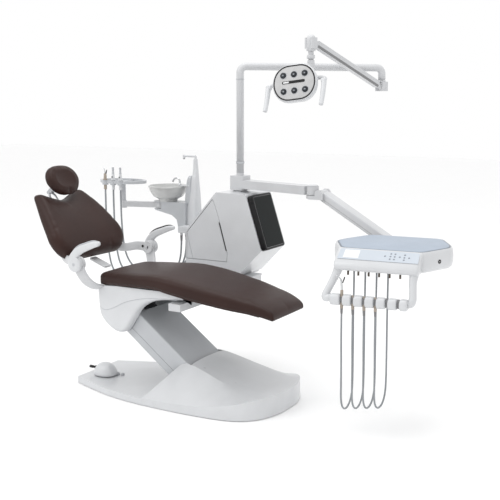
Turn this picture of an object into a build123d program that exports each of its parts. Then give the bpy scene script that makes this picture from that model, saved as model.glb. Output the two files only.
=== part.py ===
from build123d import *
from math import atan2, cos, degrees, hypot, radians, sin, tan
import os

# Dental chair with side unit, delivery tray, assistant arm and operating light.
# Millimetres. X runs from the head to the foot, +Y is the patient's left, Z is up.
# The origin lies on the floor below the middle of the base.

# ---- base -------------------------------------------------------------------
WALL = 4
PLATE_TOP = 12
REAR_TOP = 37
BASE_OUTLINE = [(-555, 190), (-227, 303), (100, 338), (400, 338), (545, 310), (650, 190), (684, 70)]
# x, height at the side wall, ridge half width, ridge height, height at the middle
HUMP_STATIONS = [
    (-20, 37, 300, 46, 46),
    (118, 42, 162, 190, 196),
    (200, 45, 165, 204, 213),
    (380, 55, 185, 158, 166),
    (520, 83, 200, 116, 120),
    (620, 104, 190, 112, 114),
    (700, 106, 150, 110, 112),
]
HUMP_HALF = 345
SLOT_HALF = 165
SLOT_FRONT = 192
HUMP_REAR_X = -15
HUMP_APEX_X = 118

# ---- lift -------------------------------------------------------------------
LIFT_ANGLE = 37.2
LIFT_LENGTH = 508
LOW_PIVOT = (145.7, 135.0)
HIGH_PIVOT = (
    LOW_PIVOT[0] - LIFT_LENGTH * cos(radians(LIFT_ANGLE)),
    LOW_PIVOT[1] + LIFT_LENGTH * sin(radians(LIFT_ANGLE)),
)
LINK_OFFSET = (-10, -40)
PIN_R = 12.5
LINK_PIN_R = 8
RUNNING = 0.05
ARM_HALF_WIDTH = 157.5
ARM_HALF_HEIGHT = 69.5

# ---- seat -------------------------------------------------------------------
SEAT_TOP = [(-372, 655), (-150, 667), (19, 674), (167, 659), (314, 634), (460, 606), (602, 571), (689, 532)]
SEAT_BOTTOM = [(689, 492), (595, 516), (424, 539), (235, 569), (94, 593), (-30, 606), (-372, 588)]
SEAT_OUTLINE = [(-372, 212), (-200, 238), (165, 259), (400, 235), (689, 182)]
PAN_THICKNESS = 10
PAN_HALF = 165
FRAME_Z = (556, 564)
COVER_PROFILE = [
    (-385, 566), (-384, 517), (-373, 428), (-340, 385), (-299, 354), (-259, 331), (-212, 337),
    (-185, 357), (-137, 428), (-97, 482), (-31, 522), (33, 540), (133, 546), (236, 562),
]
COVER_HALF = 210
HIP = (-413, 716)
STUB_R = 10

# ---- backrest and headrest ----------------------------------------------------
BACK_FOOT = (-535, 705)
BACK_ANGLE = 51.5
BACK_UP = (-cos(radians(BACK_ANGLE)), sin(radians(BACK_ANGLE)))
BACK_OUT = (sin(radians(BACK_ANGLE)), cos(radians(BACK_ANGLE)))
BACK_OUTLINE = [(0, 205), (48, 280), (130, 300), (290, 256), (448, 200), (458, 165), (402, 0)]
# up the back, out of its face
BACK_PROFILE = [
    (-10, -34), (470, -34), (470, 2), (400, 20), (300, 36), (160, 44), (60, 38), (-10, 22),
]
HEAD_TILT = 11.5
HEAD_CENTRE = (478, 72)
HEAD_THICK = 50
HEAD_HINGE = (478, -54)

# ---- side unit ------------------------------------------------------------------
UNIT_Y = (470, 770)
UNIT_PROFILE = [
    (-252, 556), (-249, 806), (-52, 1030), (-37, 1045), (160, 1040), (262, 722), (100, 556),
]
BEAM_X = (98, 172)
BEAM_Z = (498, 538)
MAST = (40, 620)
MAST_R = 22
SPIGOT_R = 17
MAST_SHOULDER = 1150
BOWL = (-500, 660)
BOWL_RIM_Z = 1050
TOWER_STATIONS = [
    (745, -368, -253, 620, 714),
    (875, -358, -276, 624, 712),
    (1095, -333, -286, 646, 692),
    (1125, -318, -289, 656, 688),
    (1218, -314, -294, 660, 684),
]

# ---- assistant side ---------------------------------------------------------------
HOLDER = (-800, 600)
HOLDER_PIVOT = (-545, 660)
RING_Z = 1058
INSTRUMENT_X = (-870, -808, -752)
INSTRUMENT_Y = 506
ASSISTANT_HOSE_R = 5.5

# ---- delivery side ----------------------------------------------------------------
ELBOW = (590, 455)
ARM_Z = (1064, 1112)
BALANCE_TOP = (650, 1070)
BALANCE_LOW = (1130, 785)
BALANCE_Y = (413, 497)
TRAY_CENTRE = (1180, 145)
TRAY_YAW = 5
TRAY_Z = (785, 885)
TRAY_SWIVEL = (1150, 250)
TRAY_OUTLINE = [(-205, -238), (-297, -30), (-285, 40), (-198, 240), (198, 240), (285, 40), (297, -30), (205, -238)]
MAT_INSET = 14
BAR_Y = -318
BAR_Z = 658
BAR_R = 17
SLOT_PITCH = 54.4
SLOT_X = [-152 + SLOT_PITCH * i for i in range(6)]
KNOB_X = [-146 + 50.4 * i for i in range(6)]
HANDLE_TOP_X, HANDLE_LOW_X = (-193, 166), (-245, 180)
HOSE_EXIT_Y = -175
DELIVERY_HOSE_R = 4.5

# ---- light ------------------------------------------------------------------------
LIGHT_Z = 1765
LIGHT_ELBOW = (659, 1265)
LIGHT_TUBE_R = 22
LIGHT_BEND_R = 36
KNUCKLE_Z = 1648
NECK = (427, 755)
NECK_Z = 1905
YOKE_Z = 1768
LAMP = (432, 560)
LAMP_Z = 1660
LAMP_TILT = -16
LAMP_ROLL = 7


def along(point, direction, distance):
    """The point at a distance from another one."""
    return tuple(p + d * distance for p, d in zip(point, direction))


def prism_y(points, low, high, corner=0):
    """A polygon in XZ, extruded along Y from low to high."""
    face = Face(Wire.make_polygon([(x, low, z) for x, z in points], close=True))
    if corner:
        face = Face(face.outer_wire().fillet_2d(corner, face.vertices()))
    return Part() + extrude(face, high - low, dir=(0, 1, 0))


def prism_z(points, low, high, corner=0):
    """A polygon in XY, extruded along Z from low to high."""
    face = Face(Wire.make_polygon([(x, y, low) for x, y in points], close=True))
    if corner:
        face = Face(face.outer_wire().fillet_2d(corner, face.vertices()))
    return Part() + extrude(face, high - low, dir=(0, 0, 1))


def block(x, y, z):
    """A box between low and high corners."""
    size = [high - low for low, high in (x, y, z)]
    middle = [(high + low) / 2 for low, high in (x, y, z)]
    return Pos(*middle) * Box(*size)


def rod(start, end, radius):
    """A cylinder between two points."""
    start, end = Vector(*start), Vector(*end)
    plane = Plane(origin=start, z_dir=end - start)
    return Part() + Solid.make_cylinder(radius, (end - start).length, plane)


def rod_y(xz, low, high, radius):
    return rod((xz[0], low, xz[1]), (xz[0], high, xz[1]), radius)


def rod_z(xy, low, high, radius):
    return rod((*xy, low), (*xy, high), radius)


def mirrored(outline):
    """A half outline with y > 0, closed by its mirror image below."""
    return outline + [(x, -y) for x, y in reversed(outline) if y]


def strip(start, end, below, above):
    """The four corners of a bar along a line in XZ, from below it to above it."""
    length = hypot(end[0] - start[0], end[1] - start[1])
    side = (-(end[1] - start[1]) / length, (end[0] - start[0]) / length)
    return [
        along(start, side, below), along(end, side, below), along(end, side, above), along(start, side, above),
    ]


def tube_path(points):
    """Straight runs joined by arcs as large as each pair of runs allows."""
    corners = [Vector(*p) for p in points]
    radii = []
    for before, here, after in zip(corners, corners[1:], corners[2:]):
        turn = radians((here - before).get_angle(after - here))
        radii.append(0.45 * min((here - before).length, (after - here).length) / tan(turn / 2))
    return FilletPolyline(*corners, radius=radii), radii


def hose(points, radius):
    """A plain tube along a route."""
    path, radii = tube_path(points)
    profile = Plane(origin=path @ 0, z_dir=path % 0) * Circle(radius)
    tube = sweep(profile, path=path)
    print(f"hose length {path.length:.0f}, smallest radius {min(radii):.0f}")
    return tube


# ---- base ---------------------------------------------------------------------------
def base_form(inset):
    """The outer form of the base cover, or the same form moved in by the wall."""
    outline = [(x, y - inset) for x, y in BASE_OUTLINE]
    outline[0] = (outline[0][0] + inset, outline[0][1])
    outline[-1] = (outline[-1][0] - inset, outline[-1][1])
    bottom = 0 if inset else 3
    rear = prism_z(mirrored(outline), bottom, REAR_TOP - inset, 30)
    sections = []
    for x, wall, ridge, ridge_z, middle_z in HUMP_STATIONS:
        half = [
            (HUMP_HALF, bottom), (HUMP_HALF, wall - inset), (ridge, ridge_z - inset), (ridge / 2, middle_z - inset),
        ]
        points = half + [(-y, z) for y, z in reversed(half)]
        sections.append(Face(Wire.make_polygon([(x, y, z) for y, z in points], close=True)))
    hump = loft(sections, ruled=True) & prism_z(mirrored(outline), bottom, 300, 30)
    rear_x, apex_x = HUMP_REAR_X + inset, HUMP_APEX_X + inset
    half_cut = [
        (-700, 500), (rear_x, 500), (rear_x, 318), (apex_x, SLOT_HALF + inset), (SLOT_FRONT + inset, SLOT_HALF + inset),
    ]
    return rear + (hump - prism_z(mirrored(half_cut), REAR_TOP - inset, 400))


def base_cover():
    shell = base_form(0) - base_form(WALL)
    shell -= block((60, SLOT_FRONT), (-150, 150), (0, 60))
    return shell


def base_plate():
    outline = [(x * 0.95, y - 18) for x, y in BASE_OUTLINE]
    plate = prism_z(mirrored(outline), 0, PLATE_TOP, 30)
    for x in (-450, 500):
        for y in (-130, 130):
            plate -= rod_z((x, y), -1, PLATE_TOP + 1, 7)
    return plate


def pivot_frame():
    x, z = LOW_PIVOT
    cheek = [(x - 65, PLATE_TOP), (x + 40, PLATE_TOP), (x + 24, z + 8), (x + 12, z + 22), (x - 12, z + 22), (x - 24, z + 8)]
    frame = block((x - 70, x + 42), (-140, 140), (PLATE_TOP, 24))
    for side in (1, -1):
        frame += prism_y(cheek, *sorted((side * 120, side * 134)))
    frame -= rod_y(LOW_PIVOT, -200, 200, PIN_R)
    link_x, link_z = along(LOW_PIVOT, LINK_OFFSET, 1)
    lug = [(link_x - 24, 20), (link_x + 24, 20), (link_x + 13, link_z), (link_x, link_z + 12), (link_x - 13, link_z)]
    for side in (1, -1):
        frame += prism_y(lug, *sorted((side * 14, side * 24)))
    frame -= rod_y(LOW_PIVOT, -30, 30, PIN_R + 0.2)
    frame += rod_y((link_x, link_z), -24, 24, LINK_PIN_R)
    return frame


def lift_motor():
    gearbox = block((250, 330), (-50, 50), (PLATE_TOP, 118))
    motor = rod((330, 0, 66), (470, 0, 66), 36)
    cap = rod((470, 0, 66), (486, 0, 66), 30)
    return gearbox + motor + cap


FOOT_CONTROL = (-436, -90)
FOOT_LEVER_Z = 74


def foot_control():
    body = prism_z(mirrored([(-62, 40), (-40, 62), (20, 58), (70, 30)]), REAR_TOP, 58, 14)
    dome = Pos(0, 0, 56) * scale(Sphere(1), (62, 52, 58))
    pod = body + (dome - block((-200, 200), (-200, 200), (-50, REAR_TOP + 1)))
    pod -= rod((-100, 0, FOOT_LEVER_Z), (-36, 0, FOOT_LEVER_Z), 9)
    return Pos(*FOOT_CONTROL, 0) * pod


def foot_joystick():
    lever = rod((-90, 0, FOOT_LEVER_Z), (-38, 0, FOOT_LEVER_Z), 4)
    tip = rod((-106, 0, FOOT_LEVER_Z), (-84, 0, FOOT_LEVER_Z), 8)
    return Pos(*FOOT_CONTROL, 0) * (lever + tip)


# ---- lift ----------------------------------------------------------------------------
LIFT_DIR = (-cos(radians(LIFT_ANGLE)), sin(radians(LIFT_ANGLE)))
LIFT_UP = (sin(radians(LIFT_ANGLE)), cos(radians(LIFT_ANGLE)))


def on_lift(distance, height):
    """A point in XZ measured along the lift arm from its lower pivot, and square to it."""
    return along(along(LOW_PIVOT, LIFT_DIR, distance), LIFT_UP, height)


def lift_beam():
    beam = Part()
    hub_r = 24
    for side in (1, -1):
        for pivot in (LOW_PIVOT, HIGH_PIVOT):
            beam += rod_y(pivot, *sorted((side * 60, side * 118)), hub_r)
        far = LIFT_LENGTH + 30
        cheek = [on_lift(-30, -34), on_lift(far, -34), on_lift(far, 34), on_lift(-30, 34)]
        beam += prism_y(cheek, *sorted((side * 70, side * 82)))
        for distance in (110, 360):
            foot = [on_lift(distance, -30), on_lift(distance + 40, -30), on_lift(distance + 40, 30), on_lift(distance, 30)]
            beam += prism_y(foot, *sorted((side * 82, side * (ARM_HALF_WIDTH - WALL))))
    beam += rod_y(on_lift(250, 22), -70, 70, 12)
    for pivot in (LOW_PIVOT, HIGH_PIVOT):
        beam -= rod_y(pivot, -200, 200, PIN_R + RUNNING)
    return beam


def lift_arm_cover():
    height, inner = ARM_HALF_HEIGHT, ARM_HALF_HEIGHT - WALL
    outer = [on_lift(40, -height), on_lift(425, -height), on_lift(425, height), on_lift(14, height)]
    hollow = [on_lift(-60, -inner), on_lift(500, -inner), on_lift(500, inner), on_lift(-60, inner)]
    half = ARM_HALF_WIDTH
    shell = prism_y(outer, -half, half)
    long_edges = [e for e in shell.edges() if e.length > 350]
    shell = fillet(long_edges, 8)
    return shell - prism_y(hollow, WALL - half, half - WALL)


def lower_pin():
    return rod_y(LOW_PIVOT, -142, 142, PIN_R)


def upper_pin():
    return rod_y(HIGH_PIVOT, -142, 142, PIN_R)


def parallel_link():
    low = along(LOW_PIVOT, LINK_OFFSET, 1)
    high = along(HIGH_PIVOT, LINK_OFFSET, 1)
    eye_r = 15
    link = rod_y(low, -12, 12, eye_r) + rod_y(high, -12, 12, eye_r)
    link += rod((low[0], 0, low[1]), (high[0], 0, high[1]), 9)
    for pivot in (low, high):
        link -= rod_y(pivot, -20, 20, LINK_PIN_R + RUNNING)
    return link


# ---- seat -----------------------------------------------------------------------------
def seat_frame():
    top = [(x, z) for x, z in SEAT_BOTTOM if x < 640]
    low = [(x, z - PAN_THICKNESS) for x, z in reversed(top)]
    frame = prism_y(top + low, -PAN_HALF, PAN_HALF)
    frame += block((-360, 190), (-150, 150), FRAME_Z)
    web = [(-350, 560), (185, 560), (185, 572), (94, 586), (-30, 599), (-350, 581)]
    x, z = HIGH_PIVOT
    lug = [(x - 34, 560), (x - 22, z - 8), (x - 12, z - 22), (x + 12, z - 22), (x + 22, z - 8), (x + 60, 560)]
    for side in (1, -1):
        frame += prism_y(web, *sorted((side * 100, side * 112)))
        frame += prism_y(lug, *sorted((side * 120, side * 134)))
    link_x, link_z = along(HIGH_PIVOT, LINK_OFFSET, 1)
    small = [(link_x - 22, 560), (link_x - 16, link_z), (link_x, link_z - 15), (link_x + 16, link_z), (link_x + 26, 560)]
    for side in (1, -1):
        frame += prism_y(small, *sorted((side * 14, side * 24)))
    frame -= rod_y(HIGH_PIVOT, -200, 200, PIN_R)
    frame += rod_y((link_x, link_z), -24, 24, LINK_PIN_R)
    return frame


def seat_cover():
    outer = prism_y(COVER_PROFILE, -COVER_HALF, COVER_HALF)
    channel = [
        (-380, 600), (-379, 517), (-368, 430), (-336, 390), (-292, 357), (-292, 200), (500, 200), (500, 600),
    ]
    shell = outer - prism_y(channel, -166, 166)
    pocket = [
        (-380, 600), (-379, 517), (-368, 430), (-336, 390), (-296, 359), (-258, 337), (-214, 343), (-190, 360),
        (-142, 430), (-101, 487), (-33, 527), (33, 545), (133, 551), (200, 560), (200, 600),
    ]
    for side in (1, -1):
        shell -= prism_y(pocket, *sorted((side * 170, side * (COVER_HALF - WALL))))
    return shell - block((-360, -332), (-300, 300), (556, 600))


def seat_cushion():
    profile = prism_y(SEAT_TOP + SEAT_BOTTOM, -300, 300)
    outline = prism_z(mirrored(SEAT_OUTLINE), 400, 800, 28)
    return profile & outline


def unit_crossbeam():
    beam = block(BEAM_X, (-230, 640), BEAM_Z)
    beam -= block((BEAM_X[0] + 5, BEAM_X[1] - 5), (-225, 650), (BEAM_Z[0] + 5, BEAM_Z[1] - 5))
    saddle = block((BEAM_X[0] + 6, BEAM_X[1] - 6), (-140, 140), (BEAM_Z[1], FRAME_Z[0]))
    post = block((BEAM_X[0], BEAM_X[1]), (545, 640), (BEAM_Z[1], 548))
    return beam + saddle + post


def backrest_actuator():
    y, z = -75, 535
    body = rod((-290, y, z), (-100, y, z), 18)
    rod_end = rod((-352, y, z), (-290, y, z), 9)
    motor = block((-100, -40), (y - 18, y + 18), (z - 18, FRAME_Z[0]))
    return body + motor + rod_end


def hip_brackets():
    brackets = Part()
    curve = [(-365, 566), (-330, 566), (-334, 600), (-350, 650), (-385, 705), (-393, 736), (-433, 736), (-433, 700),
             (-395, 655), (-368, 600)]
    for side in (1, -1):
        plate = prism_y(curve, *sorted((side * 315, side * 327)))
        foot = block((-360, -332), sorted((side * 150, side * 315)), (556, 576))
        stub = rod_y(HIP, *sorted((side * 301, side * 358)), STUB_R)
        brackets += plate + foot + stub
    return brackets


# ---- backrest -----------------------------------------------------------------------------
def on_back(up, out):
    """A point in XZ measured up the backrest from its foot, and out of its front face."""
    return along(along(BACK_FOOT, BACK_UP, up), BACK_OUT, out)


def back_slab(up, half, out):
    """A slab across the backrest, between two heights, half widths and depths."""
    low, high = up
    corners = [on_back(low, out[0]), on_back(high, out[0]), on_back(high, out[1]), on_back(low, out[1])]
    return prism_y(corners, -half, half)


def backrest_frame():
    frame = back_slab((20, 390), 150, (-42, -34))
    frame += back_slab((60, 150), 303, (-46, -34))
    bracket = [on_back(50, -46), on_back(165, -46), on_back(150, 34), (-400, 738), (-393, 716), (-405, 692),
               (-440, 694), on_back(60, 20)]
    for side in (1, -1):
        frame += prism_y(bracket, *sorted((side * 302, side * 313)))
    frame -= rod_y(HIP, -400, 400, STUB_R + RUNNING)
    lever = [on_back(60, -36), on_back(60, -48), (-582, 672), (-480, 628), (-468, 634), (-476, 644), (-570, 684)]
    frame += prism_y(lever, -70, 70)
    sleeve = back_slab((240, 380), 44, (-70, -42)) - back_slab((200, 420), 30.3, (-58.5, -49.5))
    return frame + sleeve


def backrest_cushion():
    outline = Face(Wire.make_polygon([(up, y, -60) for up, y in mirrored(BACK_OUTLINE)], close=True))
    outline = Face(outline.outer_wire().fillet_2d(18, outline.vertices()))
    slab = extrude(outline, 160, dir=(0, 0, 1))
    slab &= prism_y(BACK_PROFILE, -320, 320)
    plane = Plane(
        origin=(BACK_FOOT[0], 0, BACK_FOOT[1]), x_dir=(BACK_UP[0], 0, BACK_UP[1]), z_dir=(BACK_OUT[0], 0, BACK_OUT[1]),
    )
    return plane.location * slab


def headrest_bar():
    hinge = on_back(*HEAD_HINGE)
    bar = back_slab((210, 460), 30, (-58, -50)) + back_slab((458, 478), 12, (-58, -50))
    bar += rod_y(hinge, -12, 12, 9)
    return bar - rod_y(hinge, -20, 20, 5 + RUNNING)


def head_plane(depth):
    """The headrest's own plane, its x up the pad and its z out of the pad's face."""
    tilt = radians(HEAD_TILT)
    up = (BACK_UP[0] * cos(tilt) + BACK_OUT[0] * sin(tilt), BACK_UP[1] * cos(tilt) + BACK_OUT[1] * sin(tilt))
    out = (BACK_OUT[0] * cos(tilt) - BACK_UP[0] * sin(tilt), BACK_OUT[1] * cos(tilt) - BACK_UP[1] * sin(tilt))
    origin = along(on_back(*HEAD_CENTRE), out, depth)
    return Plane(origin=(origin[0], 0, origin[1]), x_dir=(up[0], 0, up[1]), z_dir=(out[0], 0, out[1]))


def headrest_bracket():
    hinge = on_back(*HEAD_HINGE)
    up, out = HEAD_HINGE
    arm = [on_back(up - 10, out + 12), on_back(up + 10, out + 12), on_back(up + 14, 40), on_back(up - 14, 40)]
    cheek = [on_back(up - 9, out), on_back(up + 9, out), on_back(up + 10, out + 14), on_back(up - 10, out + 14)]
    bracket = prism_y(arm, -21, 21)
    for side in (1, -1):
        bracket += prism_y(cheek, *sorted((side * 12.5, side * 21)))
        bracket += rod_y(hinge, *sorted((side * 12.5, side * 21)), 9)
    bracket += rod_y(hinge, -21, 21, 5)
    back = head_plane(-HEAD_THICK / 2)
    return bracket + back.location * (Pos(0, 0, -5) * Box(90, 80, 10))


def headrest_cushion():
    lower = [(-84, 50), (-70, 80), (-10, 124), (40, 118), (78, 66)]
    outline = lower + [(up, -y) for up, y in reversed(lower)]
    flat = Face(Wire.make_polygon([(up, y, 0) for up, y in outline], close=True))
    flat = Face(flat.outer_wire().fillet_2d(24, flat.vertices()))
    pad = extrude(flat, HEAD_THICK, dir=(0, 0, 1))
    return head_plane(-HEAD_THICK / 2).location * pad


def armrest(side):
    outline = [
        (-462, 700), (-446, 677), (-413, 668), (-380, 677), (-366, 700), (-352, 744), (-316, 792), (-258, 808),
        (-246, 828), (-262, 848), (-330, 836), (-400, 806), (-446, 768), (-466, 732),
    ]
    arm = prism_y(outline, *sorted((side * 330, side * 362)), 8)
    return arm - rod_y(HIP, -400, 400, STUB_R + RUNNING)


# ---- side unit --------------------------------------------------------------------------------
DOOR = [(-244, 640), (-242, 800), (-62, 1004), (-50, 985), (-14, 880), (38, 695), (36, 640)]
DOOR_THICK = 16
PANEL_LOW, PANEL_HIGH = (262, 722), (160, 1040)


def unit_cover():
    outer = prism_y(UNIT_PROFILE, *UNIT_Y, 10)
    inner = [
        (-248, 560), (-245, 804), (-48, 1028), (-36, 1041), (157, 1036), (257, 724), (98, 560),
    ]
    shell = outer - prism_y(inner, UNIT_Y[0] + WALL, UNIT_Y[1] - WALL)
    shell -= prism_y(DOOR, UNIT_Y[0] - 5, UNIT_Y[0] + WALL + 5)
    shell -= rod_z(MAST, 1000, 1100, MAST_R + 2)
    shell -= block((-60, 180), (500, 740), (500, 561))
    return shell


def unit_door():
    inset = [(-242, 642), (-240, 799), (-62, 1001), (-52, 984), (-16, 879), (36, 694.5), (34, 642)]
    door = prism_y(inset, UNIT_Y[0], UNIT_Y[0] + DOOR_THICK)
    grip = strip((-22, 868), (25, 706), 2, 9)
    return door - prism_y(grip, UNIT_Y[0] - 5, UNIT_Y[0] + 10)


def unit_mast():
    mast = block((-60, 98), (500, 740), (548, 558)) + block((98, 174), (500, 642), (548, 558))
    mast += rod_z(MAST, 558, MAST_SHOULDER, MAST_R)
    mast += rod_z(MAST, MAST_SHOULDER, 1200, SPIGOT_R)
    for x, y in ((-40, 520), (80, 720), (160, 520), (-40, 720)):
        mast -= rod_z((x, y), 500, 600, 5)
    return mast


def viewer_panel():
    length = hypot(PANEL_HIGH[0] - PANEL_LOW[0], PANEL_HIGH[1] - PANEL_LOW[1])
    direction = ((PANEL_HIGH[0] - PANEL_LOW[0]) / length, (PANEL_HIGH[1] - PANEL_LOW[1]) / length)
    low = along(PANEL_LOW, direction, 6)
    high = along(PANEL_HIGH, direction, -14)
    panel = prism_y(strip(low, high, -36, 0), UNIT_Y[0] + 2, UNIT_Y[0] + 254)
    return panel


def spittoon_tower():
    sections = []
    for z, x0, x1, y0, y1 in TOWER_STATIONS:
        sections.append(Face(Wire.make_polygon([(x0, y0, z), (x1, y0, z), (x1, y1, z), (x0, y1, z)], close=True)))
    return loft(sections, ruled=True)


def spout_ledge():
    return block((-412, -326), (629, 655), (1052, 1059))


def bowl_support():
    profile = [(-600, 952), (-600, 915), (-565, 898), (-440, 872), (-404, 846), (-392, 790), (-340, 790), (-340, 952)]
    plan = rod_z(HOLDER_PIVOT, 780, 960, 54) + block((-545, -340), (606, 714), (780, 960))
    support = prism_y(profile, 560, 760) & plan
    support -= spittoon_tower()
    gap = rod_z(HOLDER_PIVOT, 906, 944, 60) + block((-700, -545), (560, 760), (906, 944))
    support -= gap
    support += rod_z(HOLDER_PIVOT, 900, 950, 8)
    return support


def bowl():
    profile = Polyline(
        (0, 952), (56, 952), (60, 965), (93, 982), (117, 1018), (123, BOWL_RIM_Z), (117, BOWL_RIM_Z),
        (111, 1020), (89, 988), (55, 972), (0, 970), close=True,
    )
    face = make_face(Plane.XZ * profile)
    solid = revolve(face, Axis.Z, 360)
    return Pos(BOWL[0], BOWL[1], 0) * solid - spittoon_tower()


def cup_filler():
    x, y, z = -304, 672, 1234
    stem = rod_z((x, y), 1218, z, 8)
    spout = rod((x, y, z), (x - 84, y, z), 7)
    nozzle = rod_z((x - 84, y), z - 16, z + 7, 8)
    return stem + spout + nozzle


def rinse_spout():
    stem = rod((-400, 640, 1059), (-400, 640, 1092), 7)
    neck = rod((-400, 640, 1088), (-440, 645, 1096), 6)
    tip = rod((-440, 645, 1096), (-456, 647, 1074), 5)
    return stem + neck + tip


def hose_outlets():
    body = block((-318, -236), (490, 580), (786, 822)) - prism_y(UNIT_PROFILE, *UNIT_Y, 10)
    for x, y in OUTLETS:
        body += rod_z((x, y), 770, 786, 8)
    return body


# ---- assistant side ---------------------------------------------------------------------------
OUTLETS = [(-304, 506), (-288, 536), (-270, 564)]


def assistant_arm():
    hub = rod_z(HOLDER_PIVOT, 908, 942, 42)
    angle = degrees(atan2(HOLDER[1] - HOLDER_PIVOT[1], HOLDER[0] - HOLDER_PIVOT[0]))
    length = hypot(HOLDER[0] - HOLDER_PIVOT[0], HOLDER[1] - HOLDER_PIVOT[1])
    bar = Pos(HOLDER_PIVOT[0], HOLDER_PIVOT[1], 925) * Rot(0, 0, angle) * Pos(length / 2, 0, 0) * Box(length, 36, 34)
    end = rod_z(HOLDER, 900, 945, 20)
    arm = hub + bar + end
    return arm - rod_z(HOLDER_PIVOT, 880, 970, 8 + RUNNING)


def assistant_holder():
    ring = Pos(*HOLDER, RING_Z) * (extrude(Ellipse(163, 107), 18) - extrude(Ellipse(143, 88), 18))
    post = rod_z(HOLDER, 945, RING_Z, 14)
    spoke = block((HOLDER[0] - 12, HOLDER[0] + 12), (HOLDER[1] - 92, HOLDER[1] + 92), (RING_Z, RING_Z + 10))
    holder = ring + post + spoke
    for x in INSTRUMENT_X:
        holder += rod_z((x, INSTRUMENT_Y), RING_Z - 8, RING_Z + 20, 19)
        holder -= rod_z((x, INSTRUMENT_Y), RING_Z - 20, RING_Z + 40, 11.2)
    return holder


def assistant_instruments():
    tools = Part()
    for index, x in enumerate(INSTRUMENT_X):
        y = INSTRUMENT_Y
        body = rod_z((x, y), 1020, 1120, 10)
        collar = rod_z((x, y), 1079, 1086, 15)
        tip = rod((x, y, 1120), (x - 16, y, 1162), 5) if index == 0 else rod_z((x, y), 1120, 1162, 7)
        tools += body + collar + tip
    return tools


ASSISTANT_ROUTES = [
    [(-870, 506, 1020), (-870, 506, 880), (-866, 507, 740), (-856, 508, 610), (-835, 511, 520), (-780, 515, 455),
     (-690, 518, 425), (-580, 520, 420), (-475, 518, 440), (-385, 514, 495), (-330, 509, 580), (-304, 506, 670),
     (-304, 506, 770)],
    [(-808, 506, 1020), (-808, 506, 880), (-803, 508, 740), (-794, 512, 625), (-775, 518, 545), (-722, 524, 485),
     (-635, 530, 457), (-535, 534, 453), (-440, 536, 474), (-358, 537, 528), (-308, 536, 605), (-288, 536, 685),
     (-288, 536, 770)],
    [(-752, 506, 1020), (-752, 506, 880), (-749, 512, 745), (-740, 520, 640), (-715, 530, 570), (-662, 541, 519),
     (-585, 551, 495), (-500, 558, 492), (-418, 562, 513), (-345, 564, 562), (-295, 565, 625), (-270, 564, 695),
     (-270, 564, 770)],
]


# ---- delivery side ------------------------------------------------------------------------------
def plan_bar(start, end, half, z, overrun=0):
    """A level bar in plan between two points."""
    length = hypot(end[0] - start[0], end[1] - start[1]) + overrun
    angle = degrees(atan2(end[1] - start[1], end[0] - start[0]))
    height = z[1] - z[0]
    bar = Box(length, 2 * half, height)
    return Pos(start[0], start[1], (z[0] + z[1]) / 2) * Rot(0, 0, angle) * Pos(length / 2, 0, 0) * bar


def delivery_arm():
    root = Pos(*MAST, 1094) * Box(96, 96, 84)
    root = fillet(root.edges().filter_by(Axis.Z), 16)
    bar = plan_bar(MAST, ELBOW, 42, ARM_Z, -26)
    arm = root + bar + rod_z(ELBOW, *ARM_Z, 34)
    arm -= rod_z(MAST, 1000, 1200, MAST_R + RUNNING)
    return arm - rod_z(ELBOW, 1000, 1200, 12 + RUNNING)


def delivery_elbow():
    x, y = ELBOW
    floor, top = 1044, 1062
    plate = rod_z(ELBOW, floor, top, 34) + block((x, x + 32), (y - 56, y + 56), (floor, top))
    pin = rod_z(ELBOW, top, ARM_Z[1], 12)
    hinge_x, hinge_z = BALANCE_TOP
    lug = [
        (x + 10, floor), (hinge_x + 26, floor), (hinge_x + 26, hinge_z + 8), (hinge_x + 12, hinge_z + 26),
        (hinge_x - 12, hinge_z + 26), (x + 38, hinge_z + 14), (x + 38, top), (x + 10, top),
    ]
    elbow = plate + pin + rod_y(BALANCE_TOP, y - 56, y + 56, 10)
    for low in (y - 56, y + 44):
        elbow += prism_y(lug, low, low + 12)
    return elbow


def balance_arm():
    low, high = BALANCE_LOW, BALANCE_TOP
    direction = ((low[0] - high[0]), (low[1] - high[1]))
    length = hypot(*direction)
    unit = (direction[0] / length, direction[1] / length)
    start, end = along(high, unit, 22), along(low, unit, -22)
    beam = prism_y(strip(start, end, -25, 25), *BALANCE_Y)
    beam -= prism_y(strip(along(start, unit, 10), along(end, unit, -10), -21, 21), BALANCE_Y[0] + 4, BALANCE_Y[1] - 4)
    for pivot in (high, low):
        beam += rod_y(pivot, *BALANCE_Y, 24)
    for pivot in (high, low):
        beam -= rod_y(pivot, 300, 600, 10 + RUNNING)
    return beam


def tray_head():
    x, z = BALANCE_LOW
    lug = [(x - 30, 735), (x + 40, 735), (x + 26, z), (x + 12, z + 20), (x - 12, z + 20), (x - 26, z)]
    head = prism_y(lug, 499, 511)
    head += block((x - 24, x + 60), (210, 511), (730, 748))
    head += rod_y(BALANCE_LOW, BALANCE_Y[0], 505, 10)
    head += rod_z(TRAY_SWIVEL, 740, 784.5, 26) + rod_z(TRAY_SWIVEL, 780, 812, 18)
    return head


def tray_place(shape):
    """Moves a shape drawn about the tray's middle to the tray's place and yaw."""
    return Pos(*TRAY_CENTRE, 0) * Rot(0, 0, TRAY_YAW) * shape


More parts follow.
